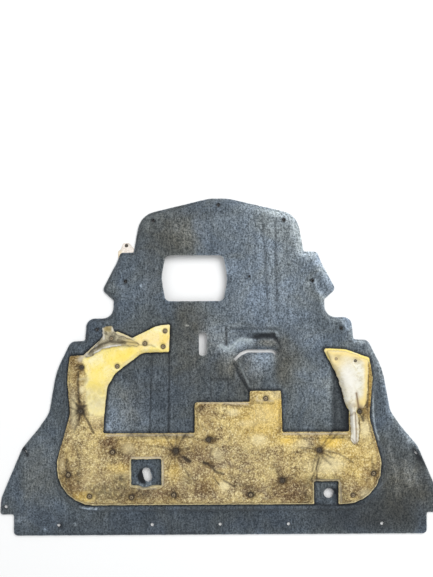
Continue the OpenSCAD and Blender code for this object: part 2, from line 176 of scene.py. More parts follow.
@dataclass(frozen=True)
class Stroke:
    """A line drawn in plan: a fold, a crease, a scuff, a hem, a painted shadow or a painted highlight. Points
    and width are in millimetres.
    """

    points: tuple[Point, ...]
    width: float
    strength: float

    def mask(self, x: Array, y: Array) -> Array:
        """How strongly the stroke shows at each place.

        Args:
            x, y: places in millimetres.

        Returns:
            The strength on the line, fading to 0 at about two widths from it.
        """
        return self.strength * np.exp(-((line_distance(self.points, x, y) / self.width) ** 2))


@dataclass(frozen=True)
class Blot:
    """A soft oval patch in plan, such as a stain. Sizes are in millimetres, the turn in degrees."""

    middle: Point
    radii: Point
    turn: float
    strength: float
    fall_off: float = 1.5

    def mask(self, x: Array, y: Array) -> Array:
        """How strongly the patch shows at each place.

        Args:
            x, y: places in millimetres.

        Returns:
            The strength in the middle, fading to 0 outside the radii.
        """
        c, s = math.cos(math.radians(self.turn)), math.sin(math.radians(self.turn))
        dx, dy = x - self.middle[0], y - self.middle[1]
        u, v = (dx * c + dy * s) / self.radii[0], (dy * c - dx * s) / self.radii[1]
        return self.strength * np.exp(-((u * u + v * v) ** self.fall_off))


@dataclass(frozen=True)
class Patch:
    """A patch in plan with corners and a soft, ragged edge. Sizes are in millimetres."""

    corners: tuple[Point, ...]
    soft: float
    strength: float
    ragged: float
    tear: float = 16.0
    seeds: tuple[int, int] = (61, 67)

    def mask(self, x: Array, y: Array) -> Array:
        """How strongly the patch shows at each place.

        Args:
            x, y: places in millimetres.

        Returns:
            The strength inside, easing to 0 across the edge.
        """
        x = x + self.ragged * layered_noise(x, y, self.tear, 3, self.seeds[0])
        y = y + self.ragged * layered_noise(x, y, self.tear, 3, self.seeds[1])
        nearest = line_distance(self.corners + self.corners[:1], x, y)
        signed = np.where(enclosed([self.corners], x, y), nearest, -nearest)
        return self.strength * smooth_step(-self.soft, self.soft, signed)


@dataclass(frozen=True)
class Star:
    """Creases that run together at a rivet. Sizes are in millimetres."""

    middle: Point
    reach: float
    spokes: int
    strength: float
    seed: int

    def strokes(self) -> list[Stroke]:
        """The spokes as strokes, each with its own length and a slight bend."""
        pick = np.random.default_rng(self.seed)
        root_share, root_strength = 0.6, 0.6
        cx, cy = self.middle
        made = []
        for k in range(self.spokes):
            angle = 2 * math.pi * (k + pick.uniform(-0.3, 0.3)) / self.spokes
            reach = self.reach * pick.uniform(0.5, 1.15)
            bend = pick.uniform(-0.25, 0.25)
            line = []
            for part, turn in ((0.12, 0.0), (0.55, bend), (1.0, 2 * bend)):
                far, way = part * reach, angle + turn
                line.append((cx + far * math.cos(way), cy + far * math.sin(way)))
            strength = self.strength * pick.uniform(0.5, 1.0)
            made.append(Stroke(tuple(line), pick.uniform(1.6, 2.8), strength))
            root = tuple((cx + root_share * (px - cx), cy + root_share * (py - cy)) for px, py in line[:2])
            made.append(Stroke(root, pick.uniform(3.0, 5.0), root_strength * strength))
        return made


Mark = Stroke | Blot | Patch


def blots(*rows: Sequence[float]) -> tuple[Blot, ...]:
    """Makes soft patches from rows of x, y, the two radii, the strength and, if there is one, the turn."""
    return tuple(Blot((x, y), (rx, ry), sum(turn), strength) for x, y, rx, ry, strength, *turn in rows)


def strokes(*rows: Sequence[float | Point]) -> tuple[Stroke, ...]:
    """Makes strokes from rows of the width, the strength and the points."""
    return tuple(Stroke(tuple(points), width, strength) for width, strength, *points in rows)


def painted(marks: Sequence[Mark], x: Array, y: Array) -> Array:
    """All the marks together, laid over each other and kept from 0 to 1.

    Args:
        marks: the strokes, blots and patches.
        x, y: places in millimetres.

    Returns:
        A value from 0 to 1 at each place.
    """
    left = np.ones(x.shape)
    for mark in marks:
        left *= 1 - np.clip(mark.mask(x, y), 0.0, 1.0)
    return 1 - left


def pressed(marks: Sequence[Mark], x: Array, y: Array) -> Array:
    """Height that the marks add, in millimetres.

    Args:
        marks: marks whose strength is a height in millimetres, below 0 where they are sunk.
        x, y: places in millimetres.

    Returns:
        The sum of their heights at each place.
    """
    return sum((mark.mask(x, y) for mark in marks), np.zeros(x.shape))


@dataclass
class Relief:
    """Heights over the plan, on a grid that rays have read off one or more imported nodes, in millimetres."""

    nodes: tuple[str, ...]
    side: Side
    step: float = 2.0
    margin: float = 14.0
    low: Array = field(init=False)
    heights: Array = field(init=False)

    def __post_init__(self) -> None:
        """Reads the heights, and carries them on over the openings and past the edges."""
        boxes = [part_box(name) for name in self.nodes]
        self.low = np.array([min(b[0][k] for b in boxes) for k in (0, 1)]) / MM - self.margin
        high = np.array([max(b[1][k] for b in boxes) for k in (0, 1)]) / MM + self.margin
        counts = np.ceil((high - self.low) / self.step).astype(int) + 1
        self.heights = np.full(tuple(counts), np.nan)
        for name in self.nodes:
            self._read(name)
        self._carry_on()

    def _read(self, name: str) -> None:
        """Casts a ray at each grid point and keeps the outermost height.

        Args:
            name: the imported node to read.
        """
        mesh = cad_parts[name].data
        faces = [tuple(p.vertices) for p in mesh.polygons]
        tree = BVHTree.FromPolygons([v.co for v in mesh.vertices], faces)
        start_z = -self.side.value
        towards = Vector((0.0, 0.0, self.side.value))
        for i in range(self.heights.shape[0]):
            x = (self.low[0] + i * self.step) * MM
            for j in range(self.heights.shape[1]):
                hit = tree.ray_cast(Vector((x, (self.low[1] + j * self.step) * MM, start_z)), towards)[0]
                if hit is not None:
                    old = self.heights[i, j]
                    outer = np.isnan(old) or (hit.z / MM - old) * self.side.value < 0
                    self.heights[i, j] = hit.z / MM if outer else old

    def _carry_on(self) -> None:
        """Fills the empty grid points from their neighbours, layer by layer."""
        while np.isnan(self.heights).any():
            padded = np.pad(self.heights, 1, constant_values=np.nan)
            around = np.stack([padded[1 + a : padded.shape[0] - 1 + a, 1 + b : padded.shape[1] - 1 + b]
                               for a in (-1, 0, 1) for b in (-1, 0, 1)])
            known = (~np.isnan(around)).sum(0)
            mean = np.nansum(around, 0) / np.maximum(known, 1)
            self.heights = np.where(np.isnan(self.heights) & (known > 0), mean, self.heights)

    def soften(self, radius: float) -> "Relief":
        """Rounds the relief off with a Gaussian blur.

        Args:
            radius: the blur's standard deviation, in millimetres.

        Returns:
            The relief itself.
        """
        reach = max(1, math.ceil(3 * radius / self.step))
        weights = np.exp(-0.5 * (np.arange(-reach, reach + 1) * self.step / radius) ** 2)
        weights /= weights.sum()
        for axis in (0, 1):
            pads = [(reach, reach) if a == axis else (0, 0) for a in (0, 1)]
            padded = np.pad(self.heights, pads, mode="edge")
            size = self.heights.shape[axis]
            self.heights = sum(w * np.take(padded, range(k, k + size), axis) for k, w in enumerate(weights))
        return self

    def __call__(self, x: Array, y: Array) -> Array:
        """Height between the grid points.

        Args:
            x, y: places in millimetres.

        Returns:
            The height at each place, in millimetres.
        """
        just_inside = 1.001
        last = np.array(self.heights.shape) - just_inside
        u = np.clip((x - self.low[0]) / self.step, 0, last[0])
        v = np.clip((y - self.low[1]) / self.step, 0, last[1])
        i, j = u.astype(int), v.astype(int)
        return between(self.heights, i, j, u - i, v - j)


@dataclass
class Plan:
    """The outline and openings of a flat-lying piece, as closed loops of points in millimetres."""

    loops: list[Array]
    weld: ClassVar[float] = 2e-6
    weld_cut: ClassVar[float] = 2e-5

    @classmethod
    def of_node(cls, name: str) -> "Plan":
        """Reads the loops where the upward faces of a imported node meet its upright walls.

        Args:
            name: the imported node.

        Returns:
            Its plan.
        """
        mesh = cls._solid(name)
        mesh.normal_update()
        upward = 0.08
        edges = [e for e in mesh.edges if len(e.link_faces) == 2
                 and sum(f.normal.z > upward for f in e.link_faces) == 1]
        return cls._chained(mesh, edges)

    @classmethod
    def cut_through(cls, name: str, level: float) -> "Plan":
        """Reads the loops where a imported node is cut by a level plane.

        Args:
            name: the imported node.
            level: height of the plane, in millimetres.

        Returns:
            The plan of the cut.
        """
        mesh = cls._solid(name)
        geometry = [*mesh.verts, *mesh.edges, *mesh.faces]
        bmesh.ops.bisect_plane(mesh, geom=geometry, dist=1e-7, plane_co=(0, 0, level * MM),
                               plane_no=(0, 0, 1), clear_outer=True, clear_inner=True)
        bmesh.ops.remove_doubles(mesh, verts=mesh.verts, dist=cls.weld_cut)
        return cls._chained(mesh, list(mesh.edges))

    @staticmethod
    def _solid(name: str) -> bmesh.types.BMesh:
        """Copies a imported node's mesh and welds its doubled points.

        Args:
            name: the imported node.

        Returns:
            The copy.
        """
        mesh = bmesh.new()
        mesh.from_mesh(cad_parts[name].data)
        bmesh.ops.remove_doubles(mesh, verts=mesh.verts, dist=Plan.weld)
        return mesh

    @classmethod
    def _chained(cls, mesh: bmesh.types.BMesh, edges: list[bmesh.types.BMEdge]) -> "Plan":
        """Follows edges from point to point into closed loops, the largest first.

        Args:
            mesh: the mesh that holds them, which is freed.
            edges: the edges to follow.

        Returns:
            The plan with those loops.
        """
        onward: dict[int, list[int]] = {}
        mesh.verts.index_update()
        places = {v.index: (v.co.x / MM, v.co.y / MM) for v in mesh.verts}
        for edge in edges:
            a, b = (v.index for v in edge.verts)
            onward.setdefault(a, []).append(b)
            onward.setdefault(b, []).append(a)
        mesh.free()
        fewest = 6
        loops, used = [], set()
        for first in onward:
            chain, here = [], first
            while here is not None and here not in used:
                used.add(here)
                chain.append(here)
                here = next((v for v in onward[here] if v not in used), None)
            if len(chain) >= fewest:
                loops.append(np.array([places[v] for v in chain]))
        return cls(sorted(loops, key=lambda loop: -np.ptp(loop[:, 0]) * np.ptp(loop[:, 1])))

    def resampled(self, spacing: float) -> "Plan":
        """Puts points at even distances along every loop, keeping its corners.

        Args:
            spacing: the widest distance between two points, in millimetres.

        Returns:
            A new plan.
        """
        crowded = 0.3 * spacing
        fine = []
        for loop in self.loops:
            points: list[Array] = []
            for a, b in zip(loop, np.roll(loop, -1, 0)):
                length = float(np.hypot(*(b - a)))
                if length < crowded and points and np.hypot(*(a - points[-1])) < crowded:
                    continue
                count = max(1, math.ceil(length / spacing))
                points.extend(a + (b - a) * k / count for k in range(count))
            fine.append(np.array(points))
        return Plan(fine)

    def frayed(self, amount: float, scale: float, seed: int) -> "Plan":
        """Moves the loops' points by a little noise, as cut or torn fibre edges are.

        Args:
            amount: the farthest move, in millimetres.
            scale: size of the waves, in millimetres.
            seed: picks the pattern.

        Returns:
            A new plan.
        """
        moved = []
        for loop in self.loops:
            shift = [layered_noise(*loop.T, scale, 3, number) for number in (seed, seed + 9)]
            moved.append(loop + amount * np.stack(shift, 1))
        return Plan(moved)

    def narrow(self, chosen: Callable[[Array], bool], width: float, share: float) -> None:
        """Draws some of the openings together, as loose fibres do.

        Args:
            chosen: tells from an opening's middle whether it is meant.
            width: only openings wider than this are meant, in millimetres.
            share: how much of its size is left.
        """
        for loop in self.loops[1:]:
            middle = loop.mean(0)
            if chosen(middle) and np.ptp(loop[:, 0]) > width:
                loop[:] = middle + share * (loop - middle)

    def inside(self, x: Array, y: Array) -> Array:
        """Tells which places lie inside the outline and outside the openings."""
        return enclosed(self.loops, x, y)

    def edge_distance(self, x: Array, y: Array, loops: Sequence[int] | None = None) -> Array:
        """Distance from each place to the nearest point of the loops.

        Args:
            x, y: places in millimetres.
            loops: the numbers of the loops to measure from, or None for all.

        Returns:
            The distances, in millimetres.
        """
        chosen = self.loops if loops is None else [self.loops[k] for k in loops]
        points = np.concatenate(chosen)
        tree = KDTree(len(points))
        for k, (px, py) in enumerate(points):
            tree.insert((px, py, 0.0), k)
        tree.balance()
        return np.array([tree.find((px, py, 0.0))[2] for px, py in zip(x, y)])

    def area(self) -> float:
        """Flat area in square millimetres, without the openings."""
        total = 0.0
        for k, loop in enumerate(self.loops):
            x, y = loop[:, 0], loop[:, 1]
            own = abs(np.dot(x, np.roll(y, -1)) - np.dot(y, np.roll(x, -1))) / 2
            total += own if k == 0 else -own
        return float(total)


@dataclass
class Slab:
    """A closed sheet of some thickness: an upper face, a lower face and rounded walls along every loop."""

    name: str
    plan: Plan
    spacing: float
    top: Heights
    bottom: Heights
    seed: int
    bulge: float = 0.3
    coarser: float = 3.0
    least: float = 0.3
    shake: float = 0.12
    clearance: float = 0.55
    sharp_angle: float = 62.0
    obj: bpy.types.Object = field(init=False)
    x: Array = field(init=False)
    y: Array = field(init=False)

    def build(self) -> bpy.types.Object:
        """Triangulates both faces of the plan, lifts them to their heights and closes the walls.

        Returns:
            The new object.
        """
        flat_top, faces_top = self._triangulate(self.spacing)
        flat_low, faces_low = self._triangulate(self.spacing * self.coarser)
        count = len(flat_top)
        rim = sum(len(loop) for loop in self.plan.loops)
        top = self.top(flat_top[:, 0], flat_top[:, 1])
        low = self.bottom(flat_low[:, 0], flat_low[:, 1])
        low = np.minimum(low, self.top(flat_low[:, 0], flat_low[:, 1]) - self.least)
        upper = np.column_stack([flat_top, top])
        lower = np.column_stack([flat_low, low])
        walls, wall_faces = self._walls(faces_top, upper, lower, rim)
        verts = np.concatenate([upper, lower, walls])
        faces = [tuple(t) for t in faces_top.tolist()]
        faces += [(c + count, b + count, a + count) for a, b, c in faces_low.tolist()]
        mesh = bpy.data.meshes.new(self.name)
        mesh.from_pydata((verts * MM).tolist(), [], faces + wall_faces)
        mesh.shade_smooth()
        mesh.set_sharp_from_angle(angle=math.radians(self.sharp_angle))
        self.obj = bpy.data.objects.new(self.name, mesh)
        bpy.context.scene.collection.objects.link(self.obj)
        self.x, self.y = verts[:, 0], verts[:, 1]
        return self.obj

    def _triangulate(self, spacing: float) -> tuple[Array, Array]:
        """Fills the plan with triangles.

        Args:
            spacing: distance between the inner points, in millimetres.

        Returns:
            The points, the loops' own first, and the triangles as numbers of points.
        """
        loops = self.plan.loops
        points = np.concatenate([*loops, self._scatter(spacing)])
        starts = np.cumsum([0] + [len(loop) for loop in loops])
        edges = [(int(s) + k, int(s) + (k + 1) % len(loop))
                 for s, loop in zip(starts, loops) for k in range(len(loop))]
        found = delaunay_2d_cdt([Vector(p) for p in points], edges, [], 0, 1e-5)
        flat = np.array([tuple(v) for v in found[0]])
        triangles = np.array([tuple(f) for f in found[2]])
        middle = flat[triangles].mean(1)
        return flat, triangles[self.plan.inside(middle[:, 0], middle[:, 1])]

    def _scatter(self, spacing: float) -> Array:
        """Places inner points on a slightly shaken grid, clear of the loops.

        Args:
            spacing: distance between them, in millimetres.

        Returns:
            The points.
        """
        rim = np.concatenate(self.plan.loops)
        low, high = rim.min(0), rim.max(0)
        rows = []
        for k, y in enumerate(np.arange(low[1], high[1], spacing * math.sqrt(3) / 2)):
            row = np.arange(low[0] + (k % 2) * spacing / 2, high[0], spacing)
            rows.append(np.column_stack([row, np.full(len(row), y)]))
        points = np.concatenate(rows)
        shift = np.random.default_rng(self.seed).uniform(-self.shake, self.shake, points.shape)
        points += shift * spacing
        points = points[self.plan.inside(points[:, 0], points[:, 1])]
        return points[self.plan.edge_distance(points[:, 0], points[:, 1]) > self.clearance * spacing]

    def _walls(self, triangles: Array, upper: Array, lower: Array,
               rim: int) -> tuple[Array, list[tuple[int, ...]]]:
        """Closes the slab along the free edges, with one row of points that stands out a little.

        Args:
            triangles: the upper face's triangles.
            upper, lower: the points of each face, the loops' own first and in the same order.
            rim: number of points on the loops.

        Returns:
            The wall's own points, and the faces that join them to the slab.
        """
        pairs = np.concatenate([triangles[:, [0, 1]], triangles[:, [1, 2]], triangles[:, [2, 0]]])
        seen = {(a, b) for a, b in pairs.tolist()}
        free = sorted((a, b) for a, b in seen if (b, a) not in seen)
        outward = np.zeros((rim, 2))
        for a, b in free:
            along = upper[b, :2] - upper[a, :2]
            normal = np.array([along[1], -along[0]]) / max(float(np.hypot(*along)), 1e-6)
            outward[a] += normal
            outward[b] += normal
        outward /= np.maximum(np.hypot(outward[:, 0], outward[:, 1]), 1e-6)[:, None]
        rows = (upper[:rim] + lower[:rim]) / 2
        rows[:, :2] += self.bulge * outward
        base = len(upper) + len(lower)
        faces: list[tuple[int, ...]] = []
        for a, b in free:
            faces.append((b, a, base + a, base + b))
            faces.append((base + b, base + a, a + len(upper), b + len(upper)))
        return rows, faces

    def note(self, name: str, values: Array) -> None:
        """Stores one number per point, for the finish to read.

        Args:
            name: the attribute's name.
            values: a value from 0 to 1 at each point.
        """
        layer = self.obj.data.attributes.new(name, "FLOAT", "POINT")
        layer.data.foreach_set("value", np.ascontiguousarray(values, dtype=np.float32))


@dataclass
class Bench:
    """Lays out the nodes of one material, and joins them up."""

    material: bpy.types.Material
    shader: bpy.types.ShaderNode = field(init=False)
    place: bpy.types.NodeSocket = field(init=False)

    def __post_init__(self) -> None:
        """Clears the material, and sets its shader and its coordinates, the object's own in metres."""
        self.material.use_nodes = True
        self.material.node_tree.nodes.clear()
        out = self.node("ShaderNodeOutputMaterial")
        self.shader = self.node("ShaderNodeBsdfPrincipled")
        self.material.node_tree.links.new(self.shader.outputs[0], out.inputs["Surface"])
        self.place = self.node("ShaderNodeTexCoord").outputs["Object"]

    def node(self, kind: str) -> bpy.types.ShaderNode:
        """Adds a node of that kind."""
        return self.material.node_tree.nodes.new(kind)

    def join(self, value: object, socket: bpy.types.NodeSocket) -> None:
        """Links an output to a socket, or sets a plain number or colour on it.

        Args:
            value: an output socket, a number or a colour.
            socket: where it goes.
        """
        if isinstance(value, bpy.types.NodeSocket):
            self.material.node_tree.links.new(value, socket)
        elif isinstance(value, tuple) and len(value) == 3 and socket.type == "RGBA":
            socket.default_value = (*value, 1.0)
        else:
            socket.default_value = value

    def stretched(self, scale: Place, turn: float) -> bpy.types.NodeSocket:
        """Coordinates that are stretched along one way.

        Args:
            scale: the factor along each axis.
            turn: turn round Z, in degrees.

        Returns:
            The new coordinates.
        """
        mapping = self.node("ShaderNodeMapping")
        mapping.inputs["Scale"].default_value = scale
        mapping.inputs["Rotation"].default_value = (0.0, 0.0, math.radians(turn))
        self.join(self.place, mapping.inputs["Vector"])
        return mapping.outputs[0]

    def noise(self, size: float, detail: float, rough: float, twist: float = 0.0,
              at: bpy.types.NodeSocket | None = None) -> bpy.types.NodeSocket:
        """Cloudy noise.

        Args:
            size: size of its lumps, in millimetres.
            detail: number of finer layers.
            rough: how strong the finer layers are.
            twist: how much it is distorted.
            at: coordinates, or None for the object's own.

        Returns:
            A value from 0 to 1.
        """
        made = self.node("ShaderNodeTexNoise")
        self.join(at or self.place, made.inputs["Vector"])
        made.inputs["Scale"].default_value = 1 / (size * MM)
        made.inputs["Detail"].default_value = detail
        made.inputs["Roughness"].default_value = rough
        made.inputs["Distortion"].default_value = twist
        return made.outputs["Fac"]

    def ramp(self, value: bpy.types.NodeSocket, low: float, high: float,
             to: tuple[float, float] = (0.0, 1.0)) -> bpy.types.NodeSocket:
        """Stretches a value, and cuts it off at both ends.

        Args:
            value: what is stretched.
            low, high: the stretch of it that counts.
            to: what those ends become.

        Returns:
            The stretched value.
        """
        made = self.node("ShaderNodeMapRange")
        self.join(value, made.inputs["Value"])
        for name, number in (("From Min", low), ("From Max", high), ("To Min", to[0]), ("To Max", to[1])):
            made.inputs[name].default_value = number
        return made.outputs[0]

    def times(self, a: object, b: object) -> bpy.types.NodeSocket:
        """The product of two outputs or numbers, kept from 0 to 1."""
        return self._reckon("MULTIPLY", a, b)

    def plus(self, a: object, b: object) -> bpy.types.NodeSocket:
        """The sum of two outputs or numbers, kept from 0 to 1."""
        return self._reckon("ADD", a, b)

    def _reckon(self, kind: str, a: object, b: object) -> bpy.types.NodeSocket:
        """One step of arithmetic on two values.

        Args:
            kind: the operation, MULTIPLY or ADD.
            a, b: outputs or numbers.

        Returns:
            The result, kept from 0 to 1.
        """
        made = self.node("ShaderNodeMath")
        made.operation = kind
        made.use_clamp = True
        self.join(a, made.inputs[0])
        self.join(b, made.inputs[1])
        return made.outputs[0]

    def mix(self, share: object, a: object, b: object, kind: str = "MIX") -> bpy.types.NodeSocket:
        """Mixes two colours.

        Args:
            share: how much of the second colour shows.
            a, b: the colours, or outputs that give them.
            kind: the way they are blended.

        Returns:
            The mixed colour.
        """
        made = self.node("ShaderNodeMix")
        made.data_type = "RGBA"
        made.blend_type = kind
        self.join(share, made.inputs[0])
        self.join(a, made.inputs[6])
        self.join(b, made.inputs[7])
        return made.outputs[2]

    def speckled(self, colour: object, *layers: tuple[bpy.types.NodeSocket, float, float, float, Colour],
                 ) -> bpy.types.NodeSocket:
        """Lays patterned paints over a colour, one after another.

        Args:
            colour: what lies under them.
            layers: for each its pattern, where that begins and is full, its share and its paint.

        Returns:
            The painted colour.
        """
        for pattern, low, high, share, paint in layers:
            colour = self.mix(self.times(self.ramp(pattern, low, high), share), colour, paint)
        return colour

    def noted(self, name: str) -> bpy.types.NodeSocket:
        """The value that the mesh stores under that name."""
        made = self.node("ShaderNodeAttribute")
        made.attribute_name = name
        return made.outputs["Fac"]

    def relief(self, height: bpy.types.NodeSocket, depth: float, strength: float) -> None:
        """Gives the shader a bump.

        Args:
            height: the relief, from 0 to 1.
            depth: its depth, in millimetres.
            strength: how strongly it shows.
        """
        made = self.node("ShaderNodeBump")
        made.inputs["Strength"].default_value = strength
        made.inputs["Distance"].default_value = depth * MM
        self.join(height, made.inputs["Height"])
        self.join(made.outputs[0], self.shader.inputs["Normal"])


@dataclass(frozen=True)
class FeltFinish:
    """Pressed needle felt: a mat of dark, blue-grey and pale fibres, with oil, soot and dust on it, and
    painted shade and highlights.
    """

    name: str = "felt"
    dark: Colour = (0.026, 0.035, 0.044)
    middle: Colour = (0.120, 0.146, 0.170)
    dark_dust_and_highlight: Colour = (0.115, 0.142, 0.164)
    dust_and_highlight: Colour = (0.64, 0.75, 0.86)
    blue: Colour = (0.92, 0.98, 1.10)
    warm: Colour = (1.12, 1.02, 0.86)
    oil: Colour = (0.86, 0.68, 0.46)
    painted_highlight: Colour = (0.40, 0.46, 0.48)
    soot_and_shade: Colour = (0.010, 0.012, 0.015)

    def make(self) -> bpy.types.Material:
        """Builds the material.

        Returns:
            The new material.
        """
        bench = Bench(bpy.data.materials.new(self.name))
        grain = bench.noise(4.0, 3.0, 0.68, 0.5)
        streak = bench.noise(3.4, 3.0, 0.62, 0.5, bench.stretched((1.0, 0.30, 1.0), 6))
        fibre = bench.noise(1.6, 4.0, 0.7, 1.2)
        drawn = bench.noise(11.0, 3.0, 0.6, 0.2, bench.stretched((1.0, 0.05, 1.0), 2))
        cloud = bench.noise(54.0, 4.0, 0.6, 0.6)
        hue = bench.noise(105.0, 3.0, 0.6, 0.8)
        level = bench.plus(bench.times(grain, 0.48), bench.times(streak, 0.30))
        level = bench.plus(level, bench.times(fibre, 0.22))
        # Lighter where dust lies and where highlights are painted.
        dust_and_highlight_share = bench.plus(bench.noted("dust_and_highlight"), bench.ramp(cloud, 0.32, 0.68, (-0.06, 0.09)))
        dust_and_highlight_share = bench.plus(dust_and_highlight_share, bench.ramp(drawn, 0.34, 0.66, (-0.05, 0.06)))
        low = bench.mix(dust_and_highlight_share, self.dark, self.dark_dust_and_highlight)
        high = bench.mix(dust_and_highlight_share, self.middle, self.dust_and_highlight)
        colour = bench.mix(bench.ramp(level, 0.43, 0.585), low, high)
        tint = bench.mix(bench.ramp(hue, 0.36, 0.64), self.blue, self.warm)
        colour = bench.mix(0.55, colour, tint, "MULTIPLY")
        oily = bench.times(bench.noted("oil"), bench.ramp(cloud, 0.25, 0.7, (1.0, 0.6)))
        colour = bench.mix(oily, colour, self.oil, "MULTIPLY")
        # Pale paint where highlights are painted on lit ridges and edges.
        painted_highlight = bench.times(bench.noted("painted_highlight"), bench.ramp(level, 0.36, 0.56, (0.62, 1.0)))
        colour = bench.mix(painted_highlight, colour, self.painted_highlight)
        # Near-black where soot lies and where shade and shadow are painted.
        colour = bench.mix(bench.noted("soot_and_shade"), colour, self.soot_and_shade)
        bench.join(colour, bench.shader.inputs["Base Color"])
        bench.join(bench.ramp(cloud, 0.3, 0.7, (0.88, 0.98)), bench.shader.inputs["Roughness"])
        bench.shader.inputs["Sheen Weight"].default_value = 0.05
        bench.shader.inputs["Sheen Roughness"].default_value = 0.6
        bench.shader.inputs["Specular IOR Level"].default_value = 0.22
        bench.relief(level, 2.2, 0.8)
        return bench.material


@dataclass(frozen=True)
class FoamFinish:
    """Foam under a thin ochre fleece that is oily and sooty, with painted shade in its creases and painted
    highlights on its lit inner edges, and bare yellow foam where it has torn off.
    """

    name: str = "foam"
    fleece: Colour = (0.50, 0.36, 0.13)
    pale: Colour = (0.84, 0.67, 0.28)
    vivid: Colour = (0.80, 0.54, 0.10)
    wash: Colour = (0.27, 0.205, 0.135)
    brown: Colour = (0.090, 0.055, 0.026)
    soot_and_shade: Colour = (0.035, 0.027, 0.019)
    cream: Colour = (0.82, 0.72, 0.43)
    hem_and_highlight: Colour = (0.50, 0.44, 0.33)
    rust: Colour = (0.165, 0.090, 0.058)
    lemon: Colour = (0.90, 0.69, 0.10)
    bare: Colour = (0.86, 0.71, 0.22)
    bare_pale: Colour = (0.86, 0.78, 0.46)
    bare_amber: Colour = (0.80, 0.52, 0.16)
    bare_tan: Colour = (0.70, 0.54, 0.24)
    bare_brown: Colour = (0.55, 0.40, 0.14)
    grime_and_shade: Colour = (0.36, 0.28, 0.20)

    def make(self) -> bpy.types.Material:
        """Builds the material.

        Returns:
            The new material.
        """
        bench = Bench(bpy.data.materials.new(self.name))
        dots = bench.noise(3.7, 3.0, 0.66, 0.6)
        fine = bench.noise(2.4, 4.0, 0.75, 0.8)
        smear = bench.noise(11.0, 4.0, 0.68, 1.4)
        blotch = bench.noise(27.0, 5.0, 0.66, 0.7)
        cloud = bench.noise(84.0, 4.0, 0.62, 0.8)
        scratch = bench.noise(5.4, 3.0, 0.6, 0.8, bench.stretched((1.0, 0.26, 1.0), 38))
        colour = bench.mix(bench.ramp(blotch, 0.38, 0.66), self.fleece, self.pale)
        colour = bench.mix(bench.noted("vivid"), colour, self.vivid)
        washed = bench.plus(bench.noted("wash"), bench.ramp(cloud, 0.46, 0.64, (0.0, 0.42)))
        washed = bench.times(washed, bench.ramp(blotch, 0.34, 0.62, (1.0, 0.5)))
        colour = bench.mix(washed, colour, self.wash)
        rusty = bench.times(bench.noted("rust"), bench.ramp(smear, 0.66, 0.40, (0.35, 1.0)))
        colour = bench.mix(rusty, colour, self.rust)
        dirty = bench.times(bench.ramp(cloud, 0.36, 0.60, (0.58, 1.0)),
                            bench.ramp(blotch, 0.36, 0.62, (1.0, 0.56)))
        smeared = bench.times(bench.ramp(smear, 0.53, 0.37), bench.ramp(cloud, 0.40, 0.60, (0.30, 0.66)))
        colour = bench.mix(smeared, colour, self.brown)
        colour = bench.mix(bench.times(bench.ramp(dots, 0.54, 0.35), dirty), colour, self.brown)
        colour = bench.speckled(
            colour,
            (fine, 0.44, 0.30, 0.35, self.soot_and_shade),
            (scratch, 0.44, 0.34, 0.50, self.brown),
            (dots, 0.52, 0.68, 0.80, self.cream),
        )
        colour = bench.mix(bench.times(bench.noted("vivid"), 0.4), colour, self.vivid)
        # Brown grime, with painted shade in the spokes' creases.
        grimy_and_shaded = bench.times(bench.noted("grime_and_shade"), bench.ramp(dots, 0.36, 0.64, (1.0, 0.6)))
        colour = bench.mix(grimy_and_shaded, colour, self.grime_and_shade, "MULTIPLY")
        foam = bench.mix(bench.ramp(blotch, 0.40, 0.62), self.bare, self.bare_pale)
        foam = bench.speckled(
            foam,
            (cloud, 0.52, 0.66, 0.35, self.bare_amber),
            (smear, 0.46, 0.34, 0.30, self.bare_tan),
            (fine, 0.46, 0.32, 0.40, self.bare_brown),
        )
        foam = bench.mix(bench.noted("vivid"), foam, self.lemon)
        bare = bench.times(bench.noted("bare"), bench.ramp(dots, 0.30, 0.46, (0.75, 1.0)))
        colour = bench.mix(bare, colour, foam)
        colour = bench.mix(bench.times(bench.noted("cream"), 0.8), colour, self.cream)
        # Pale hems, and painted highlights on the pad's lit inner edges.
        colour = bench.mix(bench.noted("hem_and_highlight"), colour, self.hem_and_highlight)
        # Near-black soot and burnt dirt, with painted shade in the creases.
        colour = bench.mix(bench.noted("soot_and_shade"), colour, self.soot_and_shade)
        bench.join(colour, bench.shader.inputs["Base Color"])
        bench.join(bench.ramp(cloud, 0.3, 0.7, (0.84, 0.97)), bench.shader.inputs["Roughness"])
        bench.shader.inputs["Sheen Weight"].default_value = 0.06
        bench.shader.inputs["Specular IOR Level"].default_value = 0.22
        lumps = bench.plus(bench.times(dots, 0.55), bench.times(blotch, 0.45))
        bench.relief(lumps, 2.4, 0.7)
        return bench.material


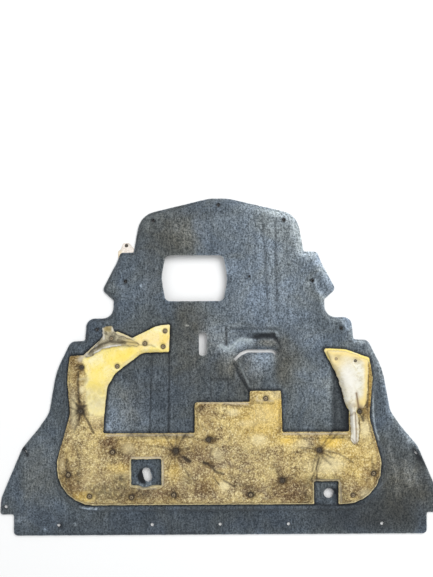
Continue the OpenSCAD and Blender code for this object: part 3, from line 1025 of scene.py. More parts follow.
@dataclass(frozen=True)
class FleeceFinish:
    """A torn scrap of the thin facing: a matt fleece with fold lines and stains, and painted shade in its
    sunk folds.
    """

    name: str
    base: Colour
    pale: Colour
    stain: Colour
    stained: float
    ochre: Colour = (0.74, 0.57, 0.20)
    white: Colour = (0.74, 0.72, 0.66)

    def make(self) -> bpy.types.Material:
        """Builds the material.

        Returns:
            The new material.
        """
        bench = Bench(bpy.data.materials.new(self.name))
        grain = bench.noise(2.2, 5.0, 0.7, 0.8)
        blotch = bench.noise(20.0, 5.0, 0.65, 1.5)
        colour = bench.mix(bench.ramp(blotch, 0.35, 0.62), self.base, self.pale)
        crumple = bench.noise(7.0, 3.0, 0.6, 1.6, bench.stretched((0.5, 1.0, 1.0), -30))
        colour = bench.speckled(colour, (crumple, 0.46, 0.36, self.stained, self.stain))
        spots = bench.times(bench.ramp(blotch, 0.56, 0.34), self.stained)
        colour = bench.mix(bench.times(spots, bench.ramp(grain, 0.62, 0.40)), colour, self.stain)
        colour = bench.mix(bench.times(bench.noted("ochre"), 0.9), colour, self.ochre)
        colour = bench.mix(bench.noted("white"), colour, self.white)
        colour = bench.mix(bench.noted("grime_and_shade"), colour, self.stain)
        bench.join(colour, bench.shader.inputs["Base Color"])
        bench.join(bench.ramp(grain, 0.3, 0.7, (0.80, 0.95)), bench.shader.inputs["Roughness"])
        bench.shader.inputs["Sheen Weight"].default_value = 0.15
        bench.shader.inputs["Specular IOR Level"].default_value = 0.3
        bench.relief(grain, 0.6, 0.5)
        return bench.material


@dataclass(frozen=True)
class MetalFinish:
    """Dull metal of a rivet or washer, with dirt and rust in patches."""

    name: str
    base: Colour
    dirt: Colour
    metallic: float
    rust: Colour = (0.30, 0.17, 0.08)

    def make(self) -> bpy.types.Material:
        """Builds the material.

        Returns:
            The new material.
        """
        bench = Bench(bpy.data.materials.new(self.name))
        grain = bench.noise(0.7, 4.0, 0.7)
        patch = bench.noise(5.0, 5.0, 0.7, 1.0)
        colour = bench.mix(bench.ramp(patch, 0.36, 0.60), self.base, self.dirt)
        colour = bench.speckled(colour, (grain, 0.55, 0.75, 0.4, self.rust))
        bench.join(colour, bench.shader.inputs["Base Color"])
        bench.join(bench.ramp(patch, 0.3, 0.7, (0.42, 0.80)), bench.shader.inputs["Roughness"])
        bench.shader.inputs["Metallic"].default_value = self.metallic
        bench.relief(grain, 0.15, 0.5)
        return bench.material


def finish_piece(obj: bpy.types.Object, finish: bpy.types.Material, slot: str, *nodes: str) -> None:
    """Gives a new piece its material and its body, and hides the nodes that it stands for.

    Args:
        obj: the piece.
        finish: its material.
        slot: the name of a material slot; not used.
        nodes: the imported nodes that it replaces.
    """
    obj.data.materials.append(finish)
    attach(obj, "root")
    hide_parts(*nodes)
    LOG.info("%s: %d faces, replaces %s", obj.name, len(obj.data.polygons), ", ".join(nodes))


def as_cloth(slab: Slab) -> None:
    """Args:
        slab: the scrap.
    """
    slab.plan.area() * MM * MM


def pad_level() -> float:
    """Height at which the foam pad's outline is read, a little above its underside, in millimetres."""
    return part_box("foam_pad")[0].z / MM + 2.0


@dataclass
class FeltPanel:
    """The pressed felt sheet with its rim, field, ridge, bay, louvre and openings."""

    spacing: float = 3.2
    fold_radius: float = 1.7
    rolled_rim: float = 1.6
    rim_band: float = 13.0
    wing_x: float = 440.0
    ear_y: float = -180.0
    slot_width: float = 9.5
    slot_left: float = 0.5
    bolt_hole: float = 12.0
    strip_y: float = -340.0
    least_top: float = 2.4
    folds: tuple[Mark, ...] = strokes(
        (2.0, -0.9, (-167, 339), (-167, 280)), (2.2, -0.8, (104, 360), (112, 242), (116, 120)),
        (2.4, -0.8, (135, 352), (136, 277), (138, 158)), (4.0, 1.0, (362, -46), (376, -112), (380, -177)),
        (2.0, 1.0, (-409, -345), (-385, -359)), (2.0, -0.8, (-400, -352), (-377, -366)),
        (1.6, -1.2, (172, 253), (203, 234)), (3.0, -1.4, (-337, -326), (-315, -333), (-294, -334)),
    )
    oil: tuple[Mark, ...] = blots(
        (446, -250, 36, 90, 0.4), (-150, 300, 80, 60, 0.2), (-98, 318, 60, 66, 0.75, 20),
        (-150, 250, 40, 90, 0.4), (-69, 112, 38, 60, 0.9, 10), (-60, 30, 60, 60, 0.5),
        (55, -20, 46, 60, 0.8, 30), (118, 56, 30, 11, 0.95), (150, 10, 22, 60, 0.9),
        (170, 20, 30, 66, 0.5), (12, -8, 30, 26, 0.7), (463, -281, 50, 70, 0.95, 60),
        (412, -262, 40, 100, 0.75, 10), (380, -350, 120, 40, 0.5), (-100, -20, 150, 120, 0.3),
        (-210, -80, 30, 60, 0.4), (-440, -270, 60, 80, 0.35),
    )
    # Painted highlights: the lit crest of the louvre and the lit slope before it, the lit left edge of the
    # hood, a lit corner of the pan and the lit fold on the right wing.
    painted_highlight: tuple[Mark, ...] = strokes(
        (3.0, 0.85, (2, 52), (10, 46), (23, 43), (34, 52), (44, 62), (54, 65), (77, 64)),
        (5.0, 0.32, (24, 38), (36, 44), (48, 54), (60, 57), (76, 57)),
        (1.8, 0.35, (47, 11), (52, -3), (61, -24), (72, -48)),
        (2.2, 0.28, (132, 96), (140, 92), (146, 68)),
        (1.4, 0.35, (363, -60), (365, -110), (371, -148), (380, -176)),
    )
    # Dust, and painted highlights: on the louvre's ridge and hood, on the lit slope at the bay's left side
    # and on the lit fold of the right wing.
    dust_and_highlight: tuple[Mark, ...] = blots(
        (140, 260, 120, 190, 0.2, 8), (70, 120, 130, 100, 0.13), (20, 350, 170, 50, 0.1),
        (130, 305, 50, 80, 0.09, 10), (-230, -110, 60, 70, 0.2, 30), (-248, -130, 16, 34, 0.18),
        (240, -60, 70, 90, 0.14), (-4, 72, 44, 50, 0.24), (-60, 300, 34, 44, 0.14),
        (227, 66, 26, 26, 0.22), (-262, -142, 12, 14, 0.35), (-486, -364, 22, 12, 0.26),
        (259, -38, 24, 30, 0.18), (27, 14, 16, 32, 0.34), (30, 236, 18, 24, 0.2),
        (456, -266, 22, 30, 0.28), (330, 60, 70, 110, 0.12, 20), (-420, -240, 70, 90, 0.1, 20),
        (-180, 180, 60, 40, 0.1), (-184, 194, 3, 3, 0.9), (-348, -375, 3, 3, 0.9),
        (-420, -388, 3, 3, 0.9), (58, 54, 26, 10, 0.55, 10), (16, 40, 14, 8, 0.35),
        (118, 56, 26, 8, 0.24), (98, 22, 36, 12, 0.4), (90, -4, 30, 20, 0.26),
    ) + strokes(
        (3.0, 0.14, (96, 350), (100, 250), (106, 150)), (4.0, 0.16, (122, 350), (124, 250), (128, 150)),
        (3.0, 0.1, (146, 340), (150, 250), (152, 170)), (3.0, 0.5, (200, 198), (212, 198)),
        (5.0, 0.45, (228, 205), (236, 184), (245, 162)), (4.0, 0.5, (294, 107), (306, 90)),
        (1.6, 0.9, (-80, 100), (-74, 100)), (7.0, 0.4, (419, -108), (440, -140), (454, -180)),
        (2.6, 0.7, (-333, -333), (-314, -336), (-295, -335)),
        (2.6, 0.24, (-200, -270), (-190, -280), (-176, -282), (-164, -276)),
        (6.0, 0.2, (404, -196), (420, -250), (426, -320)), (5.0, 0.2, (444, -226), (456, -290)),
        (5.0, 0.16, (476, -290), (486, -330)),
        (5.5, 0.5, (0, 50), (16, 43), (30, 50), (43, 61), (56, 65), (80, 65)),
        (3.0, 0.25, (46, 6), (56, -16), (66, -36)),
        (2.0, 0.55, (363, -33), (364, -76), (366, -125), (371, -148), (380, -176)),
        (3.0, 0.35, (137, 82), (146, 66)),
    )
    # Soot, and painted shade: the shadow behind the louvre's crest, the dark walls of its pan and hood, the
    # gap shadows under the pad's lower edge, the shaded slope beside the right arm, the dark crescents in the
    # drains, a dark spot for a small hole by the pad's edge, the dark wing slots and the darkening in
    # creases.
    soot_and_shade: tuple[Mark, ...] = blots(
        (376, -352, 140, 54, 0.42), (-36, 368, 44, 20, 0.3), (236, -337, 28, 12, 0.26),
        (266, 160, 14, 50, 0.24, -10), (-148, -161, 6, 4, 0.95), (259, -303, 20, 18, 0.4),
        (90, 74, 26, 7, 0.5), (-320, -60, 40, 120, 0.15), (0, -372, 560, 30, 0.34),
        (-383, -379, 7, 7, 0.9), (302, -130, 12, 40, 0.35), (-180, 20, 260, 160, 0.1),
        (-20, -340, 200, 14, 0.2),
    ) + strokes(
        (1.6, 0.6, (-21, -26), (-21, -73)), (1.6, 0.5, (274, -24), (275, -156)),
        (2.6, 0.95, (-335, -325), (-314, -328), (-287, -325)),
        (2.4, 0.8, (-181, -325), (-155, -327), (-132, -325)),
        (3.0, 0.75, (120, -326), (160, -327), (224, -327), (253, -330), (286, -330)),
        (2.2, 0.7, (286, -329), (315, -329), (336, -326)), (1.6, 0.6, (22, -26), (22, -74)),
        (1.6, 0.6, (-21, -29), (22, -29)), (1.4, 0.75, (-159, 34), (-168, -158)),
        (2.4, 0.8, (-118, 100), (-122, -158)), (2.0, 0.9, (308, 59), (315, 59)),
        (5.0, 0.85, (-470, -190), (-460, -210)), (6.0, 0.85, (464, -200), (472, -213), (480, -224)),
        (7.0, 0.6, (476, -222), (488, -238)), (1.6, 0.5, (172, 253), (203, 234)),
        (2.6, 0.5, (104, 360), (112, 242), (116, 120)), (2.6, 0.5, (135, 352), (136, 277), (138, 158)),
        (2.4, 0.85, (16, 94), (17, 52)), (2.0, 0.5, (67, 101), (112, 101)),
        (4.4, 0.6, (36, 12), (41, -2), (50, -21), (60, -38), (71, -56)),
        (1.6, 0.8, (33, 10), (39, -4), (47, -21), (57, -38), (68, -56)),
        (1.6, 0.6, (34, 20), (50, 35), (68, 42), (126, 42), (140, 32)),
    ) + (
        Patch(((266, -2), (280, -16), (290, -38), (298, -64), (306, -94), (313, -110), (313, -160),
               (266, -160)), 4.0, 0.62, 1.5),
        Patch(((-183, -238), (-193, -246), (-198, -258), (-194, -271), (-185, -277), (-175, -275),
               (-180, -268), (-184, -256), (-183, -246)), 1.2, 0.96, 0.6),
        Patch(((264, -290), (275, -291), (282, -300), (281, -307), (273, -304), (268, -294)),
              1.4, 0.92, 0.6),
        Patch(((74, 70), (84, 76), (106, 80), (133, 81), (142, 66), (150, 44), (146, 44), (136, 60),
               (127, 66), (100, 67), (80, 67)), 4.0, 0.92, 2.5),
    )

    def build(self) -> Slab:
        """Builds and dresses the sheet.

        Returns:
            The slab, for the pieces that lie on it.
        """
        above = Relief(("felt_panel",), Side.ABOVE).soften(self.fold_radius)
        below = Relief(("felt_panel",), Side.BELOW).soften(self.fold_radius)
        plan = Plan.of_node("felt_panel").resampled(self.spacing).frayed(0.5, 7.0, 3)
        plan.narrow(lambda middle: abs(middle[0]) > self.wing_x and middle[1] < self.ear_y,
                    self.slot_width, self.slot_left)

        def sway(x: Array, y: Array) -> Array:
            """Slow waves of a used sheet, its folds and its rolled rim, none of them under the floor."""
            edge = plan.edge_distance(x, y, (0,))
            wave = 0.8 * layered_noise(x, y, 120.0, 2, 5) + 0.35 * layered_noise(x, y, 22.0, 2, 8)
            roll = -self.rolled_rim * np.exp(-edge / self.rim_band)
            return (wave + roll) * smooth_step(4.0, 12.0, above(x, y)) + pressed(self.folds, x, y)

        def upper_face(x: Array, y: Array) -> Array:
            """Height of the upper face, with its fibres."""
            return np.maximum(above(x, y) + sway(x, y), self.least_top) + 0.14 * value_noise(x, y, 4.0, 12)

        def lower_face(x: Array, y: Array) -> Array:
            """Height of the lower face, never under the floor."""
            return np.maximum(below(x, y) + sway(x, y), 0.0)

        slab = Slab("felt_sheet", plan, self.spacing, upper_face, lower_face, 1)
        slab.build()
        self._paint_wear_and_light(slab)
        finish_piece(slab.obj, FeltFinish().make(), "felt", "felt_panel")
        return slab

    def _paint_wear_and_light(self, slab: Slab) -> None:
        """Stores how dusty, oily and sooty the sheet is at each point, and where highlights and shade are
        painted on it.

        Args:
            slab: the built sheet.
        """
        x, y, plan = slab.x, slab.y, slab.plan
        pad = Plan.cut_through("foam_pad", pad_level()).resampled(4.0)
        edge = plan.edge_distance(x, y, (0,))
        cut = plan.edge_distance(x, y)
        right_rear = smooth_step(20, 160, x) * smooth_step(120, 260, y)
        # Lighter along the right rear edge: dust, and a painted highlight on the rim slope that faces the
        # light.
        band = smooth_step(28, 8, edge) * right_rear * 0.62
        shoulder = smooth_step(14, 4, edge) * smooth_step(180, 300, x) * smooth_step(-260, -180, y) * 0.30
        fuzz = smooth_step(3.0, 0.5, cut) * 0.22
        slab.note("painted_highlight", painted(self.painted_highlight, x, y))
        slab.note("dust_and_highlight", np.clip(painted(self.dust_and_highlight, x, y) + band + shoulder + fuzz, 0, 1))
        slab.note("oil", painted(self.oil, x, y))
        beside = pad.edge_distance(x, y, (0,))
        # Painted shadow and dirt on the felt along the pad's edge.
        pad_edge_shade_and_dirt = smooth_step(9.0, 1.5, beside) * (0.50 + 0.35 * smooth_step(12.0, 14.0, slab.top(x, y)))
        # Painted shade along the outer edge on the left half, which faces away from the light.
        rim = smooth_step(9, 4, edge) * smooth_step(40, -60, x) * 0.30
        bolts = [index for index, loop in enumerate(plan.loops) if np.ptp(loop[:, 0]) < self.bolt_hole]
        ring = smooth_step(3.4, 0.8, plan.edge_distance(x, y, bolts)) * np.where(y > self.strip_y, 0.8, 0.3)
        slab.note("soot_and_shade", np.clip(painted(self.soot_and_shade, x, y) + rim + ring + pad_edge_shade_and_dirt, 0, 0.95))


@dataclass
class FoamPad:
    """The foam pad: fleece over foam, drawn down at its rivets and bare where the facing has torn off."""

    spacing: float = 2.3
    fold_radius: float = 1.6
    crown: float = 1.0
    rivet_hole: float = 8.0
    least_foam: float = 3.0
    stars: tuple[Star, ...] = tuple(
        Star((x, y), reach, spokes, strength, seed)
        for seed, (x, y, reach, spokes, strength) in enumerate((
            (235, -197, 76, 11, 0.9), (-104, -197, 58, 11, 0.8), (-359, -252, 44, 9, 0.7),
            (-329, -102, 40, 9, 0.8), (-27, -171, 34, 8, 0.5), (-110, -301, 30, 8, 0.5),
            (-210, -306, 30, 8, 0.5), (72, -302, 34, 8, 0.4), (147, -269, 34, 8, 0.5),
            (363, -253, 36, 9, 0.6), (-254, -199, 24, 7, 0.4), (109, -74, 20, 6, 0.3),
        ), 1)
    )
    creases: tuple[Mark, ...] = strokes(
        (1.8, -0.9, (10, -86), (48, -93), (71, -92), (81, -84), (126, -86)),
        (1.8, -0.7, (140, -101), (139, -127), (142, -154)),
        (1.8, -0.7, (-51, -94), (-52, -117), (-50, -149)),
        (2.0, -1.0, (235, -215), (226, -240), (215, -267)),
        (3.4, -2.2, (-87, -211), (-79, -217), (-71, -221)),
        (2.6, -2.2, (-38, -224), (-29, -227), (-19, -235), (-10, -246), (7, -251)),
        (1.8, -1.4, (-15, -260), (-3, -276)), (2.0, -1.6, (8, -266), (20, -273), (35, -281)),
        (1.6, -1.0, (-3, -258), (7, -263)), (2.0, -0.8, (-16, -190), (-24, -206), (-20, -224)),
        (2.0, -0.8, (150, -166), (220, -170), (292, -167)),
        (2.0, -0.6, (-262, -166), (-160, -167), (-66, -165)),
        (2.0, -0.7, (20, -250), (36, -272), (66, -282)),
        (3.0, -0.8, (-340, -180), (-330, -225), (-336, -270)),
        (2.6, -1.6, (-333, -8), (-335, -34), (-333, -59), (-331, -80)),
        (2.2, -2.2, (-322, -106), (-313, -122), (-298, -153)),
        (1.6, -1.0, (-221, 57), (-203, 57), (-181, 54), (-161, 54), (-152, 50)),
        (1.6, -0.8, (349, 4), (351, -35), (351, -74), (348, -113), (354, -145), (362, -172), (369, -201),
         (372, -231)),
        (2.4, -1.2, (-328, -108), (-336, -128), (-344, -150)),
    )
    bare: tuple[Mark, ...] = (
        Patch(((-322, 20), (-317, -5), (-312, -20), (-317, -37), (-312, -59), (-316, -77), (-312, -95),
               (-306, -108), (-285, -114), (-262, -112), (-255, -45), (-230, 0), (-180, 38), (-108, 30),
               (-106, 112), (-160, 106), (-206, 76), (-250, 100), (-330, 60)), 4.0, 1.0, 5.0),
        Patch(((240, 50), (248, 30), (260, 4), (278, -30), (290, -70), (298, -112), (330, -112), (338, 0),
               (344, 6), (356, 12), (356, 26), (330, 36), (300, 44)), 2.0, 0.95, 1.0),
    )
    vivid: tuple[Mark, ...] = blots(
        (128, -94, 24, 26, 0.85), (164, -172, 24, 11, 0.75), (90, -118, 60, 36, 0.35),
        (263, -175, 30, 15, 0.85), (-214, -184, 18, 14, 0.35), (-234, 26, 40, 16, 0.7, 22),
        (-288, -24, 18, 34, 0.55), (-132, 44, 30, 7, 0.4), (262, 44, 14, 6, 0.5, -20),
        (-107, -244, 14, 26, 0.5), (-325, -302, 24, 12, 0.65), (-223, -236, 50, 14, 0.35),
        (110, -130, 50, 50, 0.3), (320, -230, 50, 50, 0.25), (-130, -176, 40, 10, 0.25),
        (-16, -270, 40, 24, 0.2),
    ) + strokes(
        (6.0, 0.4, (142, -80), (142, -130)), (4.0, 0.7, (355, 2), (356, -40), (354, -90)),
    )
    wash: tuple[Mark, ...] = blots(
        (-300, -260, 80, 70, 0.6), (-120, -290, 150, 36, 0.6), (-60, -220, 70, 60, 0.7),
        (-180, -200, 100, 26, 0.5), (40, -230, 100, 50, 0.5), (60, -295, 150, 26, 0.6),
        (150, -280, 50, 36, 0.6), (-340, -150, 30, 60, 0.45), (-345, -50, 14, 90, 0.45),
        (330, -290, 50, 40, 0.45), (350, -200, 24, 60, 0.3), (-30, -100, 30, 20, 0.4),
    )
    cream: tuple[Mark, ...] = blots(
        (-6, -205, 12, 16, 0.45, 30), (-344, -100, 9, 44, 0.6), (-373, -228, 8, 20, 0.3),
        (126, -68, 22, 14, 0.36), (108, -110, 34, 26, 0.28), (342, -299, 14, 12, 0.45),
        (10, -278, 12, 12, 0.8), (31, -106, 14, 9, 0.6), (92, -170, 20, 14, 0.6), (-325, -50, 7, 9, 0.9),
        (266, -228, 30, 20, 0.6), (236, -236, 40, 16, 0.35), (195, -180, 24, 12, 0.35),
        (-292, -84, 28, 44, 0.6), (342, -146, 12, 20, 0.75), (64, -132, 24, 10, 0.35),
        (-200, -250, 60, 10, 0.2), (-216, -188, 16, 14, 0.45),
    ) + strokes(
        (2.4, 0.8, (-333, -25), (-317, -24)), (3.0, 0.4, (-196, -240), (-196, -242)),
    )
    burnt: tuple[Mark, ...] = blots(
        (-327, -98, 13, 11, 0.75), (235, -197, 9, 9, 0.35), (-104, -197, 12, 10, 0.4),
        (-22, -169, 14, 8, 0.6), (-77, -217, 9, 5, 0.6, -40), (-39, -225, 10, 8, 0.4),
        (146, -266, 12, 9, 0.6), (73, -298, 11, 9, 0.5), (-42, -95, 9, 7, 0.55),
        (-235, -195, 12, 10, 0.35), (-332, 4, 8, 7, 0.55), (336, -112, 8, 16, 0.55, 10),
        (-272, -294, 54, 24, 0.62), (-229, -266, 16, 20, 0.5), (-180, -294, 34, 16, 0.45),
        (208, -288, 14, 34, 0.5), (290, -300, 14, 22, 0.46), (340, -88, 9, 8, 0.45),
        (362, -142, 6, 18, 0.5), (345, 6, 12, 12, 0.32), (-320, -27, 12, 9, 0.32),
        (-288, -68, 34, 34, 0.24), (-241, -262, 18, 14, 0.45), (-176, -298, 20, 12, 0.3),
        (-6, -200, 16, 16, 0.14), (60, -199, 20, 16, 0.14), (-141, -264, 12, 14, 0.3),
        (206, -290, 26, 30, 0.24), (-75, -264, 20, 14, 0.36), (124, -233, 18, 16, 0.25),
    ) + strokes(
        (3.4, 0.6, (-326, -96), (-337, -84)), (3.4, 0.6, (-326, -96), (-314, -86)),
        (3.4, 0.5, (-328, -100), (-346, -108)), (3.2, 0.85, (327, -90), (332, -113), (338, -126)),
        (2.2, 0.85, (328, -120), (329, -148), (327, -167), (323, -184)),
        (1.8, 0.65, (348, 6), (350, -35), (350, -74), (347, -100)),
        (2.6, 0.5, (357, -2), (360, -45), (362, -93), (363, -120), (368, -150), (376, -184), (385, -236)),
        (2.0, 0.45, (-362, -214), (-362, -250), (-364, -300)),
        (2.4, 0.45, (222, -262), (250, -269), (292, -267)),
        (5.0, 0.62, (-218, -160), (-150, -161), (-66, -161)), (6.0, 0.5, (262, -163), (300, -164)),
        (6.0, 0.42, (214, -261), (282, -261)), (2.2, 0.5, (241, -214), (232, -240), (226, -264)),
    )
    rust: tuple[Mark, ...] = blots(
        (-260, -176, 24, 17, 0.95), (-248, -200, 16, 8, 0.45), (-290, -134, 20, 15, 0.6),
        (208, -176, 18, 18, 0.45), (-376, -218, 7, 34, 0.55), (-333, -288, 20, 16, 0.55),
        (-219, -222, 8, 24, 0.6), (-122, -288, 26, 16, 0.65), (-170, -296, 44, 13, 0.7),
        (-354, -262, 12, 18, 0.6), (-38, -282, 30, 16, 0.75), (-44, -220, 26, 34, 0.6),
        (141, -228, 20, 18, 0.5), (156, -292, 34, 26, 0.8), (190, -290, 26, 24, 0.7),
        (345, -250, 15, 22, 0.65), (214, -172, 16, 14, 0.6), (374, -236, 4, 34, 0.6),
        (-27, -128, 22, 40, 0.45), (330, -296, 20, 14, 0.4),
    ) + strokes((4.0, 0.4, (-205, -297), (-140, -297)))
    grime_and_shade: tuple[Mark, ...] = blots(
        (-340, 20, 18, 14, 0.8), (-329, -100, 20, 24, 0.95), (-330, 4, 14, 16, 0.7),
        (-235, -190, 44, 22, 0.65), (-262, -176, 18, 12, 0.55), (-104, -200, 26, 24, 0.75),
        (-22, -169, 18, 14, 0.85), (-43, -94, 9, 9, 0.95), (-52, -198, 24, 30, 0.6),
        (-26, -228, 14, 12, 0.8), (-38, -286, 24, 16, 0.7), (74, -280, 28, 10, 0.65),
        (71, -300, 14, 12, 0.8), (146, -266, 14, 14, 0.9), (150, -288, 40, 26, 0.65),
        (185, -268, 28, 18, 0.6), (190, -310, 30, 14, 0.6), (60, -150, 24, 16, 0.35),
        (235, -197, 12, 12, 0.85), (-110, -302, 30, 18, 0.7), (-210, -306, 36, 16, 0.7),
        (-352, -280, 24, 36, 0.7), (-370, -230, 12, 40, 0.6), (340, -290, 30, 26, 0.6),
        (372, -260, 10, 30, 0.6), (-27, -110, 20, 26, 0.35), (345, -104, 12, 26, 0.95),
        (-170, 60, 16, 14, 0.6), (-122, 60, 7, 26, 0.35),
    ) + strokes(
        (9.0, 0.85, (-344, 22), (-338, -10), (-336, -50), (-334, -90)),
        (3.4, 0.9, (349, 10), (354, -50), (356, -91), (368, -150), (374, -200)),
    )
    # Pale hems, and painted highlights on the pad's lit inner edges at its rear and along the bay.
    hems_and_highlights: tuple[Mark, ...] = strokes(
        (2.6, 0.75, (12, -84), (66, -86)), (2.6, 0.5, (88, -70), (88, -78), (126, -79)),
        (1.8, 0.5, (-50, -84), (10, -84)), (2.0, 0.7, (150, -158), (300, -158)),
        (2.0, 0.7, (-268, -159), (-64, -159)), (2.0, 0.8, (-135, -218), (-135, -276)),
        (2.0, 0.8, (-208, -211), (-140, -211)), (1.8, 0.6, (-196, -284), (-150, -284)),
        (2.0, 0.8, (222, -268), (281, -268)), (1.8, 0.7, (284, -275), (286, -320)),
        (6.0, 0.9, (-329, 21), (-316, 36), (-300, 50), (-282, 65)),
        (6.0, 0.85, (-252, 82), (-234, 78), (-206, 66)),
    )

    def build(self) -> Slab:
        """Builds and dresses the pad.

        Returns:
            The slab, for the pieces that lie on it.
        """
        above = Relief(("foam_pad",), Side.ABOVE).soften(self.fold_radius)
        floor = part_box("foam_pad")[0].z / MM
        plan = Plan.cut_through("foam_pad", pad_level()).resampled(self.spacing).frayed(0.9, 9.0, 17)
        spokes = [stroke for star in self.stars for stroke in star.strokes()]
        rivets = [index for index, loop in enumerate(plan.loops) if np.ptp(loop[:, 0]) < self.rivet_hole]

        def swell(x: Array, y: Array) -> Array:
            """Crown, creases and lumps of the pad, fading out towards each rivet's seat."""
            seat = smooth_step(6.5, 13.0, plan.edge_distance(x, y, rivets))
            edge = plan.edge_distance(x, y, (0,))
            crown = self.crown * smooth_step(0.0, 60.0, edge)
            lumps = 0.9 * layered_noise(x, y, 46.0, 3, 21) + 0.35 * layered_noise(x, y, 9.0, 2, 25)
            folds = -2.0 * painted(spokes, x, y) + pressed(self.creases, x, y)
            return seat * (crown - 0.6 + lumps + folds) - 0.2 * (1 - seat)

        slab = Slab("foam_fleece", plan, self.spacing,
                    lambda x, y: np.maximum(above(x, y) + swell(x, y), floor + self.least_foam),
                    lambda x, y: np.full(x.shape, floor), 2, 0.5)
        slab.build()
        self._paint_wear_and_light(slab, spokes, rivets)
        finish_piece(slab.obj, FoamFinish().make(), "foam", "foam_pad")
        return slab

    def _paint_wear_and_light(self, slab: Slab, spokes: list[Stroke], rivets: list[int]) -> None:
        """Stores how bare, stained, burnt and grimy the pad is at each point, and where shade and highlights
        are painted on it.

        Args:
            slab: the built pad.
            spokes: the creases that run to the rivets.
            rivets: the numbers of the loops round the rivets.
        """
        x, y = slab.x, slab.y
        edge = slab.plan.edge_distance(x, y)
        rivet = slab.plan.edge_distance(x, y, rivets)
        spots = smooth_step(-0.5, 0.5, layered_noise(x, y, 6.0, 3, 61) + 0.3)
        bare = painted(self.bare, x, y)
        clean = 1 - 0.85 * bare
        away = smooth_step(6.0, 14.0, rivet)
        rim = 0.45 * smooth_step(9.0, 5.0, edge) * smooth_step(1.0, 3.0, edge) * away
        piping = 0.6 * smooth_step(3.6, 1.2, edge) * smooth_step(-190.0, -230.0, y) * away
        slab.note("bare", bare)
        slab.note("vivid", painted(self.vivid, x, y))
        slab.note("wash", painted(self.wash, x, y) * clean)
        slab.note("cream", np.clip(painted(self.cream, x, y) + piping, 0, 1))
        slab.note("rust", painted(self.rust, x, y))
        # The spokes' creases are painted shade, in the grime and in the soot.
        creased = painted(spokes, x, y)
        slab.note("grime_and_shade", np.clip(painted(self.grime_and_shade, x, y) + (0.4 * creased + rim) * clean, 0, 0.95))
        slab.note("hem_and_highlight", painted(self.hems_and_highlights, x, y))
        # Soot: darker round each rivet, painted shade in the sunk creases and the spokes, and burnt dirt in
        # spots.
        dark = 0.65 * smooth_step(5.0, 2.8, rivet) + 0.50 * np.clip(-pressed(self.creases, x, y), 0, 1.4)
        dark += 0.62 * creased * clean + painted(self.burnt, x, y) * spots
        slab.note("soot_and_shade", np.clip(dark, 0, 0.9))


@dataclass
class TornFleece:
    """A torn scrap of thin facing that lies on the pad and hangs over its edge."""

    name: str
    node: str
    slot: str
    finish: FleeceFinish
    under: Relief
    folds: tuple[Mark, ...]
    grime_and_shade: tuple[Mark, ...]
    ochre: tuple[Mark, ...]
    white: tuple[Mark, ...]
    lift: float = 1.2
    thickness: float = 1.0
    spacing: float = 1.7
    ragged: float = 2.2
    read_below_top: float = 0.4
    seed: int = 31

    def build(self, rests_on: list[str]) -> Slab:
        """Builds and dresses the scrap.

        Args:
            rests_on: the names of the pieces that it lies on; not used.

        Returns:
            The slab.
        """
        whole = Plan.cut_through(self.node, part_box(self.node)[1].z / MM - self.read_below_top)
        plan = Plan([whole.loops[0]]).resampled(self.spacing).frayed(self.ragged, 8.0, self.seed)
        holes = [loop.mean(0) for loop in whole.loops[1:]]

        def lie(x: Array, y: Array) -> Array:
            """Height of the scrap's underside over the pad, with its folds."""
            seat = np.ones(x.shape)
            for hole in holes:
                seat = np.minimum(seat, smooth_step(7.0, 15.0, np.hypot(x - hole[0], y - hole[1])))
            ripple = 0.6 + 0.6 * layered_noise(x, y, 12.0, 3, self.seed + 4)
            folds = np.maximum(pressed(self.folds, x, y), -0.5)
            return self.under(x, y) + self.lift + seat * (ripple + folds)

        slab = Slab(self.name, plan, self.spacing,
                    lambda x, y: lie(x, y) + self.thickness, lie, self.seed, 0.15)
        slab.build()
        x, y = slab.x, slab.y
        edge = smooth_step(2.6, 0.4, plan.edge_distance(x, y))
        slab.note("grime_and_shade", np.clip(painted(self.grime_and_shade, x, y) + 0.35 * edge, 0, 0.95))
        slab.note("ochre", painted(self.ochre, x, y))
        slab.note("white", painted(self.white, x, y))
        finish_piece(slab.obj, self.finish.make(), self.slot, self.node)
        as_cloth(slab)
        return slab


